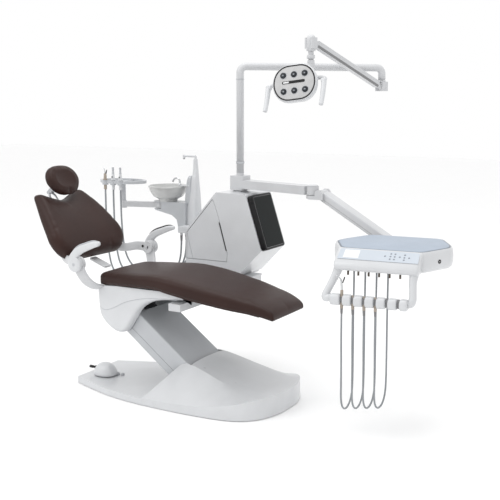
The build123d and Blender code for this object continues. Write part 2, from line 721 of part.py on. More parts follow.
def tray_body():
    low, high = TRAY_Z
    body = prism_z(TRAY_OUTLINE, low, high, 26)
    nose = [(-232, high), (-300, low + 34), (-312, low + 16), (-304, low), (-220, low)]
    front = Face(Wire.make_polygon([(-200, y, z) for y, z in nose], close=True))
    body += extrude(front, 400, dir=(1, 0, 0))
    inside = [(x * 0.97, y * 0.97) for x, y in TRAY_OUTLINE]
    body -= prism_z(inside, low - 1, high - 12, 22)
    floor = prism_z(inside, low, low + 4, 22)
    body += floor
    body = body - prism_z([(x * 0.953, y * 0.948) for x, y in TRAY_OUTLINE], high - 5, high + 1, 22)
    swivel = tray_local(TRAY_SWIVEL)
    body += rod_z(swivel, low, low + 34, 30)
    body -= rod_z(swivel, low - 5, low + 30, 18 + RUNNING)
    return tray_place(body)


def tray_local(point):
    """A world point in the tray's own plan frame."""
    yaw = radians(TRAY_YAW)
    dx, dy = point[0] - TRAY_CENTRE[0], point[1] - TRAY_CENTRE[1]
    return (dx * cos(yaw) + dy * sin(yaw), dy * cos(yaw) - dx * sin(yaw))


def tray_world(x, y, z):
    """A point of the tray's own frame in world coordinates."""
    yaw = radians(TRAY_YAW)
    return (
        TRAY_CENTRE[0] + x * cos(yaw) - y * sin(yaw), TRAY_CENTRE[1] + x * sin(yaw) + y * cos(yaw), z,
    )


def tray_mat():
    outline = [(x * 0.951, y * 0.946) for x, y in TRAY_OUTLINE]
    return tray_place(prism_z(outline, TRAY_Z[1] - 5, TRAY_Z[1] + 1, 22))


def tray_handle():
    """The hanging frame with its cross bar and the cradles between the holder slots."""
    handle = Part()
    low_x, high_x = HANDLE_LOW_X
    for top_x, foot_x in zip(HANDLE_TOP_X, HANDLE_LOW_X):
        foot = (foot_x, BAR_Y, BAR_Z)
        handle += rod((top_x, -272, TRAY_Z[0] + 30), foot, BAR_R) + Pos(*foot) * Sphere(BAR_R)
    handle += rod((low_x, BAR_Y, BAR_Z), (high_x, BAR_Y, BAR_Z), BAR_R)
    gap = 8
    edges = [-206] + [x for slot in SLOT_X for x in (slot - gap, slot + gap)] + [162]
    for low, high in zip(edges[::2], edges[1::2]):
        handle += rod((low, BAR_Y - 12, BAR_Z - 3), (high, BAR_Y - 12, BAR_Z - 3), 27)
    for slot in SLOT_X:
        handle -= block((slot - gap, slot + gap), (BAR_Y - 60, BAR_Y - 5), (BAR_Z - 40, BAR_Z + 40))
    handle -= block((-300, 300), (-400, -100), (TRAY_Z[0], 900))
    return tray_place(handle)


def adjuster_knobs():
    knobs = Part()
    for x in KNOB_X:
        knobs += rod_z((x, -262), 762, TRAY_Z[0], 5)
    return tray_place(knobs)


COUPLING_Y = BAR_Y - 14


def delivery_instruments():
    """A syringe in the first slot and bare hose couplings in the next three."""
    tools = Part()
    for index, slot in enumerate(SLOT_X[:4]):
        top = BAR_Z + (44 if index == 0 else 22)
        tools += rod_z((slot, COUPLING_Y), BAR_Z - 44, top, 7.6)
    x = SLOT_X[0]
    tools += rod((x, COUPLING_Y, BAR_Z + 44), (x - 4, COUPLING_Y, BAR_Z + 92), 5)
    tools += rod((x - 4, COUPLING_Y, BAR_Z + 88), (x - 34, COUPLING_Y, BAR_Z + 112), 2.5)
    return tray_place(tools)


def delivery_route(index):
    """From a coupling down to the loop and back up to the tray's underside."""
    x = SLOT_X[index]
    front, back = COUPLING_Y, HOSE_EXIT_Y
    low = 104 + 9 * index
    rise = x + 8 + 1.6 * index
    points = [
        (x, front, BAR_Z - 44), (x, front, 470), (x + 2, front + 2, 350), (x + 3, front + 1, low + 136),
        (x + 4, front, low + 46), (x + 5, front + 46, low), (rise - 2, front + 111, low),
        (rise, back, low + 46), (rise + 3, back - 2, low + 130), (rise + 3, back - 4, 335),
        (rise + 2, back - 3, 445), (rise, back - 1, 560), (rise, back, 680), (rise, back, TRAY_Z[0]),
    ]
    return [tray_world(*p) for p in points]


# ---- light ---------------------------------------------------------------------------------------
def light_arm():
    path = FilletPolyline(
        (*MAST, MAST_SHOULDER), (*MAST, LIGHT_Z), (*LIGHT_ELBOW, LIGHT_Z), (*LIGHT_ELBOW, 1692), radius=LIGHT_BEND_R,
    )
    tube = sweep(Plane(origin=path @ 0, z_dir=path % 0) * Circle(LIGHT_TUBE_R), path=path)
    tube -= rod_z(MAST, MAST_SHOULDER - 5, 1203, SPIGOT_R + RUNNING)
    return tube - rod_z(LIGHT_ELBOW, 1650, 1722, 10 + RUNNING)


LIGHT_PLAN = atan2(NECK[1] - LIGHT_ELBOW[1], NECK[0] - LIGHT_ELBOW[0])
LIGHT_REACH = hypot(NECK[0] - LIGHT_ELBOW[0], NECK[1] - LIGHT_ELBOW[1])


def light_place(shape):
    """Moves a shape drawn in XZ with the knuckle's axis at x = 0 to the light's elbow."""
    return Pos(*LIGHT_ELBOW, 0) * Rot(0, 0, degrees(LIGHT_PLAN)) * shape


def light_knuckle():
    body = rod_z((0, 0), 1680, 1690, 24) + rod_z((0, 0), 1690, 1720, 10)
    cheeks = block((-22, 22), (-32, 32), (1626, 1682)) - block((-30, 30), (-20.5, 20.5), (1600, 1680))
    pin = rod_y((0, KNUCKLE_Z), -32, 32, 7)
    return light_place(body + cheeks + pin)


def light_balance_arm():
    start, end = (0, KNUCKLE_Z), (LIGHT_REACH, NECK_Z)
    beam = prism_y(strip(along_line(start, end, 42), along_line(end, start, 42), -20, 20), -20, 20)
    beam += prism_y(strip(start, end, -12, 12), -20, 20)
    for pivot in (start, end):
        beam += rod_y(pivot, -20, 20, 16)
    for pivot in (start, end):
        beam -= rod_y(pivot, -60, 60, 7 + RUNNING)
    return light_place(beam)


def along_line(start, end, distance):
    length = hypot(end[0] - start[0], end[1] - start[1])
    return along(start, ((end[0] - start[0]) / length, (end[1] - start[1]) / length), distance)


def light_neck():
    x, z = LIGHT_REACH, NECK_Z
    cheeks = block((x - 20, x + 20), (-32, 32), (z - 44, z + 18)) - block((x - 30, x + 30), (-20.5, 20.5), (z - 32, z + 30))
    stem = rod_z((x, 0), 1802, z - 40, 16)
    pin = rod_y((x, z), -32, 32, 7)
    spigot = rod_z((x, 0), 1780, 1806, 9)
    return light_place(cheeks + stem + pin + spigot)


LAMP_YAW = degrees(atan2(-0.987, 0.162)) + 90


def lamp_place(shape):
    """Moves a shape drawn about the lamp's middle, facing -Y, to its place and yaw."""
    return Pos(*LAMP, LAMP_Z) * Rot(0, 0, LAMP_YAW) * shape


def lamp_tilted(shape):
    return lamp_place(Rot(0, -LAMP_ROLL, 0) * Rot(LAMP_TILT, 0, 0) * shape)


YOKE_HALF = 150


def lamp_yoke():
    neck_x, neck_y = lamp_local(NECK)
    top = YOKE_Z - LAMP_Z
    hub = rod((neck_x, neck_y, top), (neck_x, neck_y, top + 30), 20)
    hub -= rod((neck_x, neck_y, top + 10), (neck_x, neck_y, top + 60), 9 + RUNNING)
    stem = hub + rod((neck_x, neck_y, top + 6), (0, 110, 20), 11) + Pos(0, 110, 20) * Sphere(11)
    arms = Part()
    for side in (-1, 1):
        arms += rod((0, 110, 20), (side * YOKE_HALF, 90, 10), 8) + Pos(side * YOKE_HALF, 90, 10) * Sphere(8)
        arms += rod((side * YOKE_HALF, 90, 10), (side * YOKE_HALF, 0, 0), 8)
        arms += rod((side * (YOKE_HALF + 6), 0, 0), (side * 132, 0, 0), 12)
        arms += rod((side * 132, 0, 0), (side * 118, 0, 0), 6)
        arms += rod((side * (YOKE_HALF + 12), 0, 4), (side * (YOKE_HALF - 4), -60, -128), 11)
    hub_bore = rod((neck_x, neck_y, top + 10), (neck_x, neck_y, top + 60), 9 + RUNNING)
    return lamp_place(stem + Rot(0, -LAMP_ROLL, 0) * arms - hub_bore)


def lamp_local(point):
    yaw = radians(LAMP_YAW)
    dx, dy = point[0] - LAMP[0], point[1] - LAMP[1]
    return (dx * cos(yaw) + dy * sin(yaw), dy * cos(yaw) - dx * sin(yaw))


LENS_X = (-62, 0, 62)
LENS_Z = (-48, 48)


def lamp_housing():
    outline = [(-96, -104), (96, -104), (126, -60), (126, 60), (96, 104), (-96, 104), (-126, 60), (-126, -60)]
    body = prism_y([(x, z) for x, z in outline], -34, 26, 20)
    for x in LENS_X:
        for z in LENS_Z:
            body -= rod_y((x, z), -60, -14, 25)
    body -= rod((-200, 0, 0), (200, 0, 0), 6 + RUNNING) & block((-140, 140), (-20, 20), (-20, 20))
    for side in (-1, 1):
        body -= rod((side * 116, 0, 0), (side * 140, 0, 0), 13)
    return lamp_tilted(body)


def lamp_lenses():
    lenses = Part()
    for x in LENS_X:
        for z in LENS_Z:
            lenses += rod_y((x, z), -34, -14, 24.5)
    return lamp_tilted(lenses)


def main():
    os.makedirs("parts", exist_ok=True)
    parts = {
        "base_plate": base_plate(),
        "base_cover": base_cover(),
        "pivot_frame": pivot_frame(),
        "lower_pin": lower_pin(),
        "lift_motor": lift_motor(),
        "foot_control": foot_control(),
        "foot_joystick": foot_joystick(),
        "lift_beam": lift_beam(),
        "lift_arm_cover": lift_arm_cover(),
        "upper_pin": upper_pin(),
        "parallel_link": parallel_link(),
        "seat_frame": seat_frame(),
        "seat_cover": seat_cover(),
        "seat_cushion": seat_cushion(),
        "unit_crossbeam": unit_crossbeam(),
        "backrest_actuator": backrest_actuator(),
        "hip_brackets": hip_brackets(),
        "backrest_frame": backrest_frame(),
        "backrest_cushion": backrest_cushion(),
        "headrest_bar": headrest_bar(),
        "headrest_bracket": headrest_bracket(),
        "headrest_cushion": headrest_cushion(),
        "armrest_left": armrest(1),
        "armrest_right": armrest(-1),
        "unit_mast": unit_mast(),
        "unit_cover": unit_cover(),
        "unit_door": unit_door(),
        "viewer_panel": viewer_panel(),
        "spittoon_tower": spittoon_tower() + spout_ledge(),
        "bowl_support": bowl_support(),
        "bowl": bowl(),
        "cup_filler": cup_filler(),
        "rinse_spout": rinse_spout(),
        "hose_outlets": hose_outlets(),
        "assistant_arm": assistant_arm(),
        "assistant_holder": assistant_holder(),
        "assistant_instruments": assistant_instruments(),
        "delivery_arm": delivery_arm(),
        "delivery_elbow": delivery_elbow(),
        "balance_arm": balance_arm(),
        "tray_head": tray_head(),
        "tray_body": tray_body(),
        "tray_mat": tray_mat(),
        "tray_handle": tray_handle(),
        "adjuster_knobs": adjuster_knobs(),
        "delivery_instruments": delivery_instruments(),
        "light_arm": light_arm(),
        "light_knuckle": light_knuckle(),
        "light_balance_arm": light_balance_arm(),
        "light_neck": light_neck(),
        "lamp_yoke": lamp_yoke(),
        "lamp_housing": lamp_housing(),
        "lamp_lenses": lamp_lenses(),
    }
    for number, route in enumerate(ASSISTANT_ROUTES, 1):
        parts[f"assistant_hose_{number}"] = hose(route, ASSISTANT_HOSE_R)
    for number in range(1, 5):
        parts[f"delivery_hose_{number}"] = hose(delivery_route(number - 1), DELIVERY_HOSE_R)
    for name, shape in parts.items():
        export_step(shape, f"parts/{name}.step")


main()
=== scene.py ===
"""Dental chair with side unit, tray, assistant holder and light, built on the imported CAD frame."""
from math import atan2, cos, hypot, pi, radians, sin

import bmesh
import bpy
import numpy as np
from mathutils import Matrix, Vector
from mathutils.bvhtree import BVHTree


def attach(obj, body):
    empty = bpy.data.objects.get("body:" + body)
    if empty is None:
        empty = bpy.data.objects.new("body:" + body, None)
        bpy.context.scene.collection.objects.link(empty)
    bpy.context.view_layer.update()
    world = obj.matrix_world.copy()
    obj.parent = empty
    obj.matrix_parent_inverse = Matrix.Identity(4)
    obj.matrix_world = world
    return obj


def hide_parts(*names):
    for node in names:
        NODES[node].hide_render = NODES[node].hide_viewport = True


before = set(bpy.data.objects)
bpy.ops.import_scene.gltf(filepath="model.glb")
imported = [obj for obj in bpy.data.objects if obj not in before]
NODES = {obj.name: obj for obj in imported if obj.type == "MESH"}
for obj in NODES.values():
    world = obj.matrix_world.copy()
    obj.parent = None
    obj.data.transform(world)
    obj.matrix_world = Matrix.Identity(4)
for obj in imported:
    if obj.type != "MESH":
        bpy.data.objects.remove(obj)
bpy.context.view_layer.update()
SCENE = bpy.context.scene
MM = 0.001
CAMERA_PLACE = (2.75641, -4.09916, 1.58743)
CAMERA_LENS = 66.64
CAMERA_DOWN = 9.35277
CAMERA_ROUND = 29.32286
SMALLEST_BORE = 2.5


# ---- camera, floor and light ---------------------------------------------------------
def add_camera():
    data = bpy.data.cameras.new("camera")
    data.lens = CAMERA_LENS
    data.sensor_width = 36
    data.clip_end = 50
    camera = bpy.data.objects.new("camera", data)
    camera.location = CAMERA_PLACE
    camera.rotation_euler = (radians(90 - CAMERA_DOWN), 0, radians(CAMERA_ROUND))
    SCENE.collection.objects.link(camera)
    SCENE.camera = camera


def add_light(name, place, target, size, power, tint=(1, 1, 1)):
    data = bpy.data.lights.new(name, "AREA")
    data.shape = "RECTANGLE"
    data.size, data.size_y = size
    data.energy = power
    data.color = tint
    light = bpy.data.objects.new(name, data)
    light.location = place
    light.rotation_euler = (Vector(target) - Vector(place)).to_track_quat("-Z", "Y").to_euler()
    SCENE.collection.objects.link(light)


def add_world(strength):
    world = bpy.data.worlds.new("world")
    SCENE.world = world
    world.use_nodes = True
    back = world.node_tree.nodes["Background"]
    back.inputs["Color"].default_value = (1, 1, 1, 1)
    back.inputs["Strength"].default_value = strength


# ---- materials -----------------------------------------------------------------------
def material(name, colour, rough=0.35, metallic=0.0, vary=0.05, vary_scale=9.0, rough_vary=0.06,
             bump=0.05, bump_scale=420.0, bump_kind="noise", **sockets):
    """A procedural material: two close tones, uneven roughness and a fine bump."""
    made = bpy.data.materials.new(name)
    made.use_nodes = True
    tree = made.node_tree
    shader = tree.nodes["Principled BSDF"]
    shader.inputs["Metallic"].default_value = metallic
    for socket, value in sockets.items():
        shader.inputs[socket.replace("_", " ")].default_value = value
    coords = tree.nodes.new("ShaderNodeTexCoord")
    clouds = tree.nodes.new("ShaderNodeTexNoise")
    clouds.inputs["Scale"].default_value = vary_scale
    clouds.inputs["Detail"].default_value = 5
    tree.links.new(coords.outputs["Object"], clouds.inputs["Vector"])
    tones = tree.nodes.new("ShaderNodeValToRGB")
    tones.color_ramp.elements[0].position = 0.3
    tones.color_ramp.elements[1].position = 0.7
    tones.color_ramp.elements[0].color = (*[c * (1 - vary) for c in colour], 1)
    tones.color_ramp.elements[1].color = (*[min(1, c * (1 + vary)) for c in colour], 1)
    tree.links.new(clouds.outputs["Fac"], tones.inputs["Fac"])
    tree.links.new(tones.outputs["Color"], shader.inputs["Base Color"])
    fine = tree.nodes.new("ShaderNodeTexNoise")
    fine.inputs["Scale"].default_value = 38
    fine.inputs["Detail"].default_value = 6
    tree.links.new(coords.outputs["Object"], fine.inputs["Vector"])
    spread = tree.nodes.new("ShaderNodeMapRange")
    spread.inputs["To Min"].default_value = max(0.02, rough - rough_vary)
    spread.inputs["To Max"].default_value = rough + rough_vary
    tree.links.new(fine.outputs["Fac"], spread.inputs["Value"])
    tree.links.new(spread.outputs["Result"], shader.inputs["Roughness"])
    if bump_kind == "grain":
        relief = tree.nodes.new("ShaderNodeTexVoronoi")
        relief.feature = "SMOOTH_F1"
        height = relief.outputs["Distance"]
    else:
        relief = tree.nodes.new("ShaderNodeTexNoise")
        relief.inputs["Detail"].default_value = 3
        height = relief.outputs["Fac"]
    relief.inputs["Scale"].default_value = bump_scale
    tree.links.new(coords.outputs["Object"], relief.inputs["Vector"])
    raised = tree.nodes.new("ShaderNodeBump")
    raised.inputs["Strength"].default_value = bump
    raised.inputs["Distance"].default_value = 0.001
    tree.links.new(height, raised.inputs["Height"])
    tree.links.new(raised.outputs["Normal"], shader.inputs["Normal"])
    return made


SHELL = material("shell_white", (0.60, 0.61, 0.625), 0.30, vary=0.03, bump=0.02, bump_scale=700,
                 Coat_Weight=0.2)
# A greyer white for small parts; also painted shade in the seat skirt's crease and the door's fold.
SHELL_GREY_AND_SHADE = material("shell_grey_and_shade", (0.46, 0.475, 0.495), 0.34, vary=0.03, bump=0.02, bump_scale=700,
                      Coat_Weight=0.15)
METAL = material("metal_white", (0.55, 0.557, 0.57), 0.34, vary=0.03, bump=0.04, bump_scale=520,
                 Coat_Weight=0.15)
# Grey for strain reliefs, slots, frames and seam lines; also painted shade on the underside of the light's
# balance arm.
SHADE = material("metal_grey_and_shade", (0.20, 0.20, 0.205), 0.4, vary=0.05, bump=0.05, bump_scale=520)
STEEL = material("steel_painted", (0.10, 0.103, 0.11), 0.42, vary=0.08, bump=0.08)
BRIGHT = material("steel_bright", (0.50, 0.505, 0.51), 0.28, 1.0, vary=0.05, bump=0.06, bump_scale=900)
CHROME = material("chrome", (0.62, 0.63, 0.64), 0.12, 1.0, vary=0.03, rough_vary=0.04, bump=0.01)
BLACK = material("black_shell", (0.008, 0.008, 0.009), 0.34, vary=0.15, bump=0.02, Specular_IOR_Level=0.25)
GLASS = material("black_glass", (0.0015, 0.004, 0.004), 0.14, vary=0.2, rough_vary=0.03, bump=0.0,
                 Specular_IOR_Level=0.10)
DARK = material("dark_plastic", (0.022, 0.021, 0.021), 0.5, vary=0.15, bump=0.1, bump_scale=800,
                Specular_IOR_Level=0.3)
BROWN = material("brown_plastic", (0.085, 0.065, 0.048), 0.5, vary=0.15, bump=0.1, bump_scale=800)
BEIGE = material("beige_plastic", (0.36, 0.31, 0.26), 0.45, vary=0.08, bump=0.08, bump_scale=700)
MAT = material("tray_mat", (0.375, 0.425, 0.495), 0.6, vary=0.03, bump=0.25, bump_scale=1400,
               Specular_IOR_Level=0.3)
RIM = material("tray_rim", (0.21, 0.235, 0.27), 0.5, vary=0.05, bump=0.2, bump_scale=1200)
FASCIA = material("fascia_film", (0.50, 0.545, 0.60), 0.4, vary=0.02, bump=0.06, bump_scale=900)
WINDOW = material("window_film", (0.74, 0.75, 0.76), 0.4, vary=0.02, bump=0.04)
KEY = material("key_print", (0.22, 0.24, 0.28), 0.4, vary=0.05)
HOSE = material("hose_silicone", (0.25, 0.265, 0.28), 0.4, vary=0.06, bump=0.12, bump_scale=600,
                Specular_IOR_Level=0.4)
BOWL = material("bowl_ceramic", (0.54, 0.545, 0.54), 0.16, vary=0.03, rough_vary=0.03, bump=0.02,
                Coat_Weight=0.4)
FACE = material("lamp_face", (0.46, 0.46, 0.46), 0.45, vary=0.06, vary_scale=30, bump=0.15, bump_scale=1500)
LENS = material("lens_dark", (0.012, 0.015, 0.020), 0.12, vary=0.3, vary_scale=60, bump=0.02,
                Specular_IOR_Level=0.35)
ORB = material("lens_core", (0.22, 0.24, 0.26), 0.15, vary=0.2, vary_scale=90, bump=0.02)
LEATHER = material("brown_leather", (0.028, 0.0108, 0.0080), 0.42, vary=0.12, vary_scale=5, rough_vary=0.05,
                   bump=0.30, bump_scale=620, bump_kind="grain", Specular_IOR_Level=0.24)
SEAM = material("leather_seam", (0.014, 0.006, 0.005), 0.5, vary=0.1, bump=0.2, bump_scale=900)
FLOOR = material("floor_pale", (0.98, 0.98, 0.98), 0.6, vary=0.004, vary_scale=3, bump=0.01,
                 Specular_IOR_Level=0.2)


# ---- mesh helpers --------------------------------------------------------------------
def new_mesh(name, verts, faces, body, skin, slot=None, replaces=(), sharp=32):
    """A mesh piece in row-frame millimetres, smooth except at sharp edges, riding on a body."""
    mesh = bpy.data.meshes.new(name)
    mesh.from_pydata([tuple(c * MM for c in v) for v in verts], [], faces)
    shape = bmesh.new()
    shape.from_mesh(mesh)
    bmesh.ops.remove_doubles(shape, verts=shape.verts, dist=1e-6)
    bmesh.ops.recalc_face_normals(shape, faces=shape.faces)
    shape.to_mesh(mesh)
    shape.free()
    piece = bpy.data.objects.new(name, mesh)
    SCENE.collection.objects.link(piece)
    return dress(piece, body, skin, replaces, sharp)


def dress(piece, body, skin, replaces=(), sharp=32):
    """Gives a piece its material, smooth shading and body."""
    piece.data.materials.clear()
    piece.data.materials.append(skin)
    if piece.type == "MESH":
        piece.data.shade_smooth()
        piece.data.set_sharp_from_angle(angle=radians(sharp))
    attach(piece, body)
    if replaces:
        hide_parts(*replaces)
    return piece


def bevel(piece, width, segments=3, angle=35):
    """Rounds a piece's sharp edges, width in millimetres."""
    rounding = piece.modifiers.new("round", "BEVEL")
    rounding.width = width * MM
    rounding.segments = segments
    rounding.limit_method = "ANGLE"
    rounding.angle_limit = radians(angle)
    rounding.harden_normals = True
    return piece


def smooth(piece, levels=2):
    """Turns a piece into a subdivision surface."""
    soft = piece.modifiers.new("soft", "SUBSURF")
    soft.levels = soft.render_levels = levels
    return piece


def loft(rings, caps=True):
    """Vertices and faces of a skin over rings of equal length."""
    count = len(rings[0])
    verts = [p for ring in rings for p in ring]
    faces = []
    for i in range(len(rings) - 1):
        for j in range(count):
            k = (j + 1) % count
            faces.append((i * count + j, i * count + k, (i + 1) * count + k, (i + 1) * count + j))
    if caps:
        faces.append(tuple(reversed(range(count))))
        faces.append(tuple(range((len(rings) - 1) * count, len(rings) * count)))
    return verts, faces


def superellipse(half_a, half_b, power, count=40):
    """Points of a rounded rectangle that gets squarer with power."""
    points = []
    for i in range(count):
        t = 2 * pi * (i + 0.5) / count
        a = abs(cos(t)) ** (2 / power) * half_a * (1 if cos(t) > 0 else -1)
        b = abs(sin(t)) ** (2 / power) * half_b * (1 if sin(t) > 0 else -1)
        points.append((a, b))
    return points


def spline(points, steps):
    """A smooth curve through points of any dimension, steps to a span."""
    made = []
    padded = [points[0]] + list(points) + [points[-1]]
    for i in range(1, len(padded) - 2):
        p0, p1, p2, p3 = (np.array(p, float) for p in padded[i - 1:i + 3])
        for step in range(steps):
            t = step / steps
            made.append(0.5 * (2 * p1 + (p2 - p0) * t + (2 * p0 - 5 * p1 + 4 * p2 - p3) * t * t
                               + (3 * p1 - p0 - 3 * p2 + p3) * t ** 3))
    made.append(np.array(points[-1], float))
    return made


def tube(name, points, radii, body, skin, slot=None, replaces=(), squash=1.0, steps=8, around=28):
    """A tube of changing radius along a smooth line, its ends rounded over."""
    stations = spline([(*p, r) for p, r in zip(points, radii)], steps)
    rings = []
    side = None
    for i, station in enumerate(stations):
        here = Vector(station[:3])
        ahead = Vector(stations[min(i + 1, len(stations) - 1)][:3])
        behind = Vector(stations[max(i - 1, 0)][:3])
        forward = (ahead - behind).normalized()
        if side is None:
            side = forward.orthogonal().normalized()
        side = (side - forward * side.dot(forward)).normalized()
        other = forward.cross(side)
        turn = [(cos(2 * pi * k / around), sin(2 * pi * k / around)) for k in range(around)]
        rings.append([tuple(here + side * a * station[3] + other * b * station[3] * squash) for a, b in turn])
    for end, pick in ((0, 1), (-1, -2)):
        centre = Vector(stations[end][:3])
        outward = (centre - Vector(stations[pick][:3])).normalized()
        edge = rings[end]
        radius = stations[end][3]
        for angle in (30, 55, 75):
            push, shrink = sin(radians(angle)) * radius * 0.35, cos(radians(angle))
            ring = [tuple(centre + outward * push + (Vector(p) - centre) * shrink) for p in edge]
            if end == 0:
                rings.insert(0, ring)
            else:
                rings.append(ring)
    return new_mesh(name, *loft(rings), body, skin, slot, replaces)


def lathe(name, profile, place, axis, body, skin, slot=None, replaces=(), around=48):
    """A turned piece: (radius, height) profile about an axis. One that stays off the axis is a ring."""
    turn = Vector(axis).to_track_quat("Z", "Y")
    is_ring = min(profile[0][0], profile[-1][0]) > SMALLEST_BORE
    if is_ring:
        profile = profile + profile[:1]
    rings = []
    for radius, height in profile:
        ring = []
        for k in range(around):
            angle = 2 * pi * k / around
            local = Vector((radius * cos(angle), radius * sin(angle), height))
            ring.append(tuple(Vector(place) + turn @ local))
        rings.append(ring)
    return new_mesh(name, *loft(rings, caps=not is_ring), body, skin, slot, replaces)


def slab(name, outline, depth, placed, body, skin, slot=None, replaces=(), edge=1.0, segments=3):
    """A flat plate: a 2D outline pushed along its normal, placed by a matrix in millimetres."""
    low = [tuple(placed @ Vector((x, y, 0))) for x, y in outline]
    high = [tuple(placed @ Vector((x, y, depth))) for x, y in outline]
    piece = new_mesh(name, *loft([low, high]), body, skin, slot, replaces)
    return bevel(piece, edge, segments)


def carry(node, skin, width=2.0, segments=3):
    """Keeps a CAD node and gives it rounded edges and a material."""
    piece = NODES[node]
    for place in piece.material_slots:
        place.material = skin
    if not piece.material_slots:
        piece.data.materials.append(skin)
    if "custom_normal" in piece.data.attributes:
        piece.data.attributes.remove(piece.data.attributes["custom_normal"])
    piece.data.shade_smooth()
    weld = piece.modifiers.new("weld", "WELD")
    weld.merge_threshold = 1e-5
    if width:
        bevel(piece, width, segments, 32)
    return piece


def matrix(origin, x_axis, z_axis):
    """A placement whose x and z run along the two axes given."""
    z = Vector(z_axis).normalized()
    x = Vector(x_axis)
    x = (x - z * x.dot(z)).normalized()
    y = z.cross(x)
    made = Matrix((x, y, z)).transposed().to_4x4()
    made.translation = Vector(origin)
    return made


def rounded(points, radius, steps=6):
    """A 2D polygon with its corners rounded."""
    made = []
    count = len(points)
    for i in range(count):
        here = Vector(points[i])
        before, after = Vector(points[i - 1]), Vector(points[(i + 1) % count])
        reach = min(radius, (here - before).length * 0.45, (after - here).length * 0.45)
        start = here + (before - here).normalized() * reach
        stop = here + (after - here).normalized() * reach
        for k in range(steps + 1):
            t = k / steps
            made.append(tuple(start * (1 - t) ** 2 + here * 2 * t * (1 - t) + stop * t * t))
    return made


# ---- hoses ---------------------------------------------------------------------------
TRAY_CENTRE = (1180, 145)
TRAY_YAW = radians(5)
SLOT_X = [-152 + 54.4 * i for i in range(6)]
KNOB_X = [-146 + 50.4 * i for i in range(6)]
BAR_Y = -318
BAR_Z = 658


def tray_point(x, y, z):
    """A point of the tray's own frame in the row frame."""
    return (
        TRAY_CENTRE[0] + x * cos(TRAY_YAW) - y * sin(TRAY_YAW),
        TRAY_CENTRE[1] + x * sin(TRAY_YAW) + y * cos(TRAY_YAW),
        z,
    )


def delivery_route(index):
    x = SLOT_X[index]
    front, back = BAR_Y - 14, -175
    low = 104 + 9 * index
    rise = x + 8 + 1.6 * index
    points = [
        (x, front, BAR_Z - 44), (x, front, 470), (x + 2, front + 2, 350), (x + 3, front + 1, low + 136),
        (x + 4, front, low + 46), (x + 5, front + 46, low), (rise - 2, front + 111, low),
        (rise, back, low + 46), (rise + 3, back - 2, low + 130), (rise + 3, back - 4, 335),
        (rise + 2, back - 3, 445), (rise, back - 1, 560), (rise, back, 680), (rise, back, 785),
    ]
    return [tray_point(*p) for p in points]


ASSISTANT_ROUTES = [
    [(-870, 506, 1020), (-870, 506, 880), (-866, 507, 740), (-856, 508, 610), (-835, 511, 520),
     (-780, 515, 455), (-690, 518, 425), (-580, 520, 420), (-475, 518, 440), (-385, 514, 495),
     (-330, 509, 580), (-304, 506, 670), (-304, 506, 770)],
    [(-808, 506, 1020), (-808, 506, 880), (-803, 508, 740), (-794, 512, 625), (-775, 518, 545),
     (-722, 524, 485), (-635, 530, 457), (-535, 534, 453), (-440, 536, 474), (-358, 537, 528),
     (-308, 536, 605), (-288, 536, 685), (-288, 536, 770)],
    [(-752, 506, 1020), (-752, 506, 880), (-749, 512, 745), (-740, 520, 640), (-715, 530, 570),
     (-662, 541, 519), (-585, 551, 495), (-500, 558, 492), (-418, 562, 513), (-345, 564, 562),
     (-295, 565, 625), (-270, 564, 695), (-270, 564, 770)],
]


def hose(name, route, radius, body, node):
    """A free hose on one smooth NURBS line."""
    data = bpy.data.curves.new(name, "CURVE")
    data.dimensions = "3D"
    line = data.splines.new("NURBS")
    line.points.add(len(route) - 1)
    for point, place in zip(line.points, route):
        point.co = (*[c * MM for c in place], 1)
    line.order_u = 3
    line.use_endpoint_u = True
    line.resolution_u = 10
    data.bevel_depth = radius * MM
    data.bevel_resolution = 5
    piece = bpy.data.objects.new(name, data)
    SCENE.collection.objects.link(piece)
    data.materials.append(HOSE)
    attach(piece, body)
    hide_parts(node)
    return piece


def relief(name, place, direction, radius, length, body):
    """A ribbed strain relief where a hose leaves its fitting."""
    profile = [(radius * 0.4, 0), (radius + 2.6, 0)]
    ribs = 6
    for rib in range(ribs):
        start = length * (rib + 0.1) / ribs
        stop = length * (rib + 0.75) / ribs
        outer = radius + 2.6 - 1.7 * rib / ribs
        profile += [(outer, start), (outer - 0.3, stop), (outer - 1.0, stop + 0.4)]
    profile += [(radius + 0.4, length), (radius * 0.4, length)]
    return lathe(name, profile, place, direction, body, SHADE, "hose_grey", around=28)


def add_hoses():
    for number, route in enumerate(ASSISTANT_ROUTES, 1):
        hose(f"assistant_hose_tube_{number}", route, 5.5, "carriage",
             f"assistant_hose_{number}")
        relief(f"assistant_relief_{number}", route[-1], (0, 0, -1), 5.5, 34, "carriage")
    for number in range(1, 5):
        route = delivery_route(number - 1)
        hose(f"delivery_hose_tube_{number}", route, 4.5, "tray",
             f"delivery_hose_{number}")
        relief(f"delivery_relief_{number}", route[0], (0, 0, -1), 4.5, 26, "tray")
        relief(f"delivery_exit_{number}", route[-1], (0, 0, -1), 4.5, 22, "tray")


# ---- cushions ------------------------------------------------------------------------
def outline_distance(points, outline):
    """Distance from each 2D point to a closed outline."""
    best = np.full(len(points), 1e9)
    closed = np.array(outline + [outline[0]], float)
    for a, b in zip(closed[:-1], closed[1:]):
        along = b - a
        t = np.clip(((points - a) @ along) / max(along @ along, 1e-12), 0, 1)
        gap = np.linalg.norm(points - (a + t[:, None] * along), axis=1)
        best = np.minimum(best, gap)
    return best


def applied(piece):
    """Replaces a piece's mesh by its evaluated one."""
    graph = bpy.context.evaluated_depsgraph_get()
    mesh = bpy.data.meshes.new_from_object(piece.evaluated_get(graph))
    piece.modifiers.clear()
    piece.data = mesh
    return piece


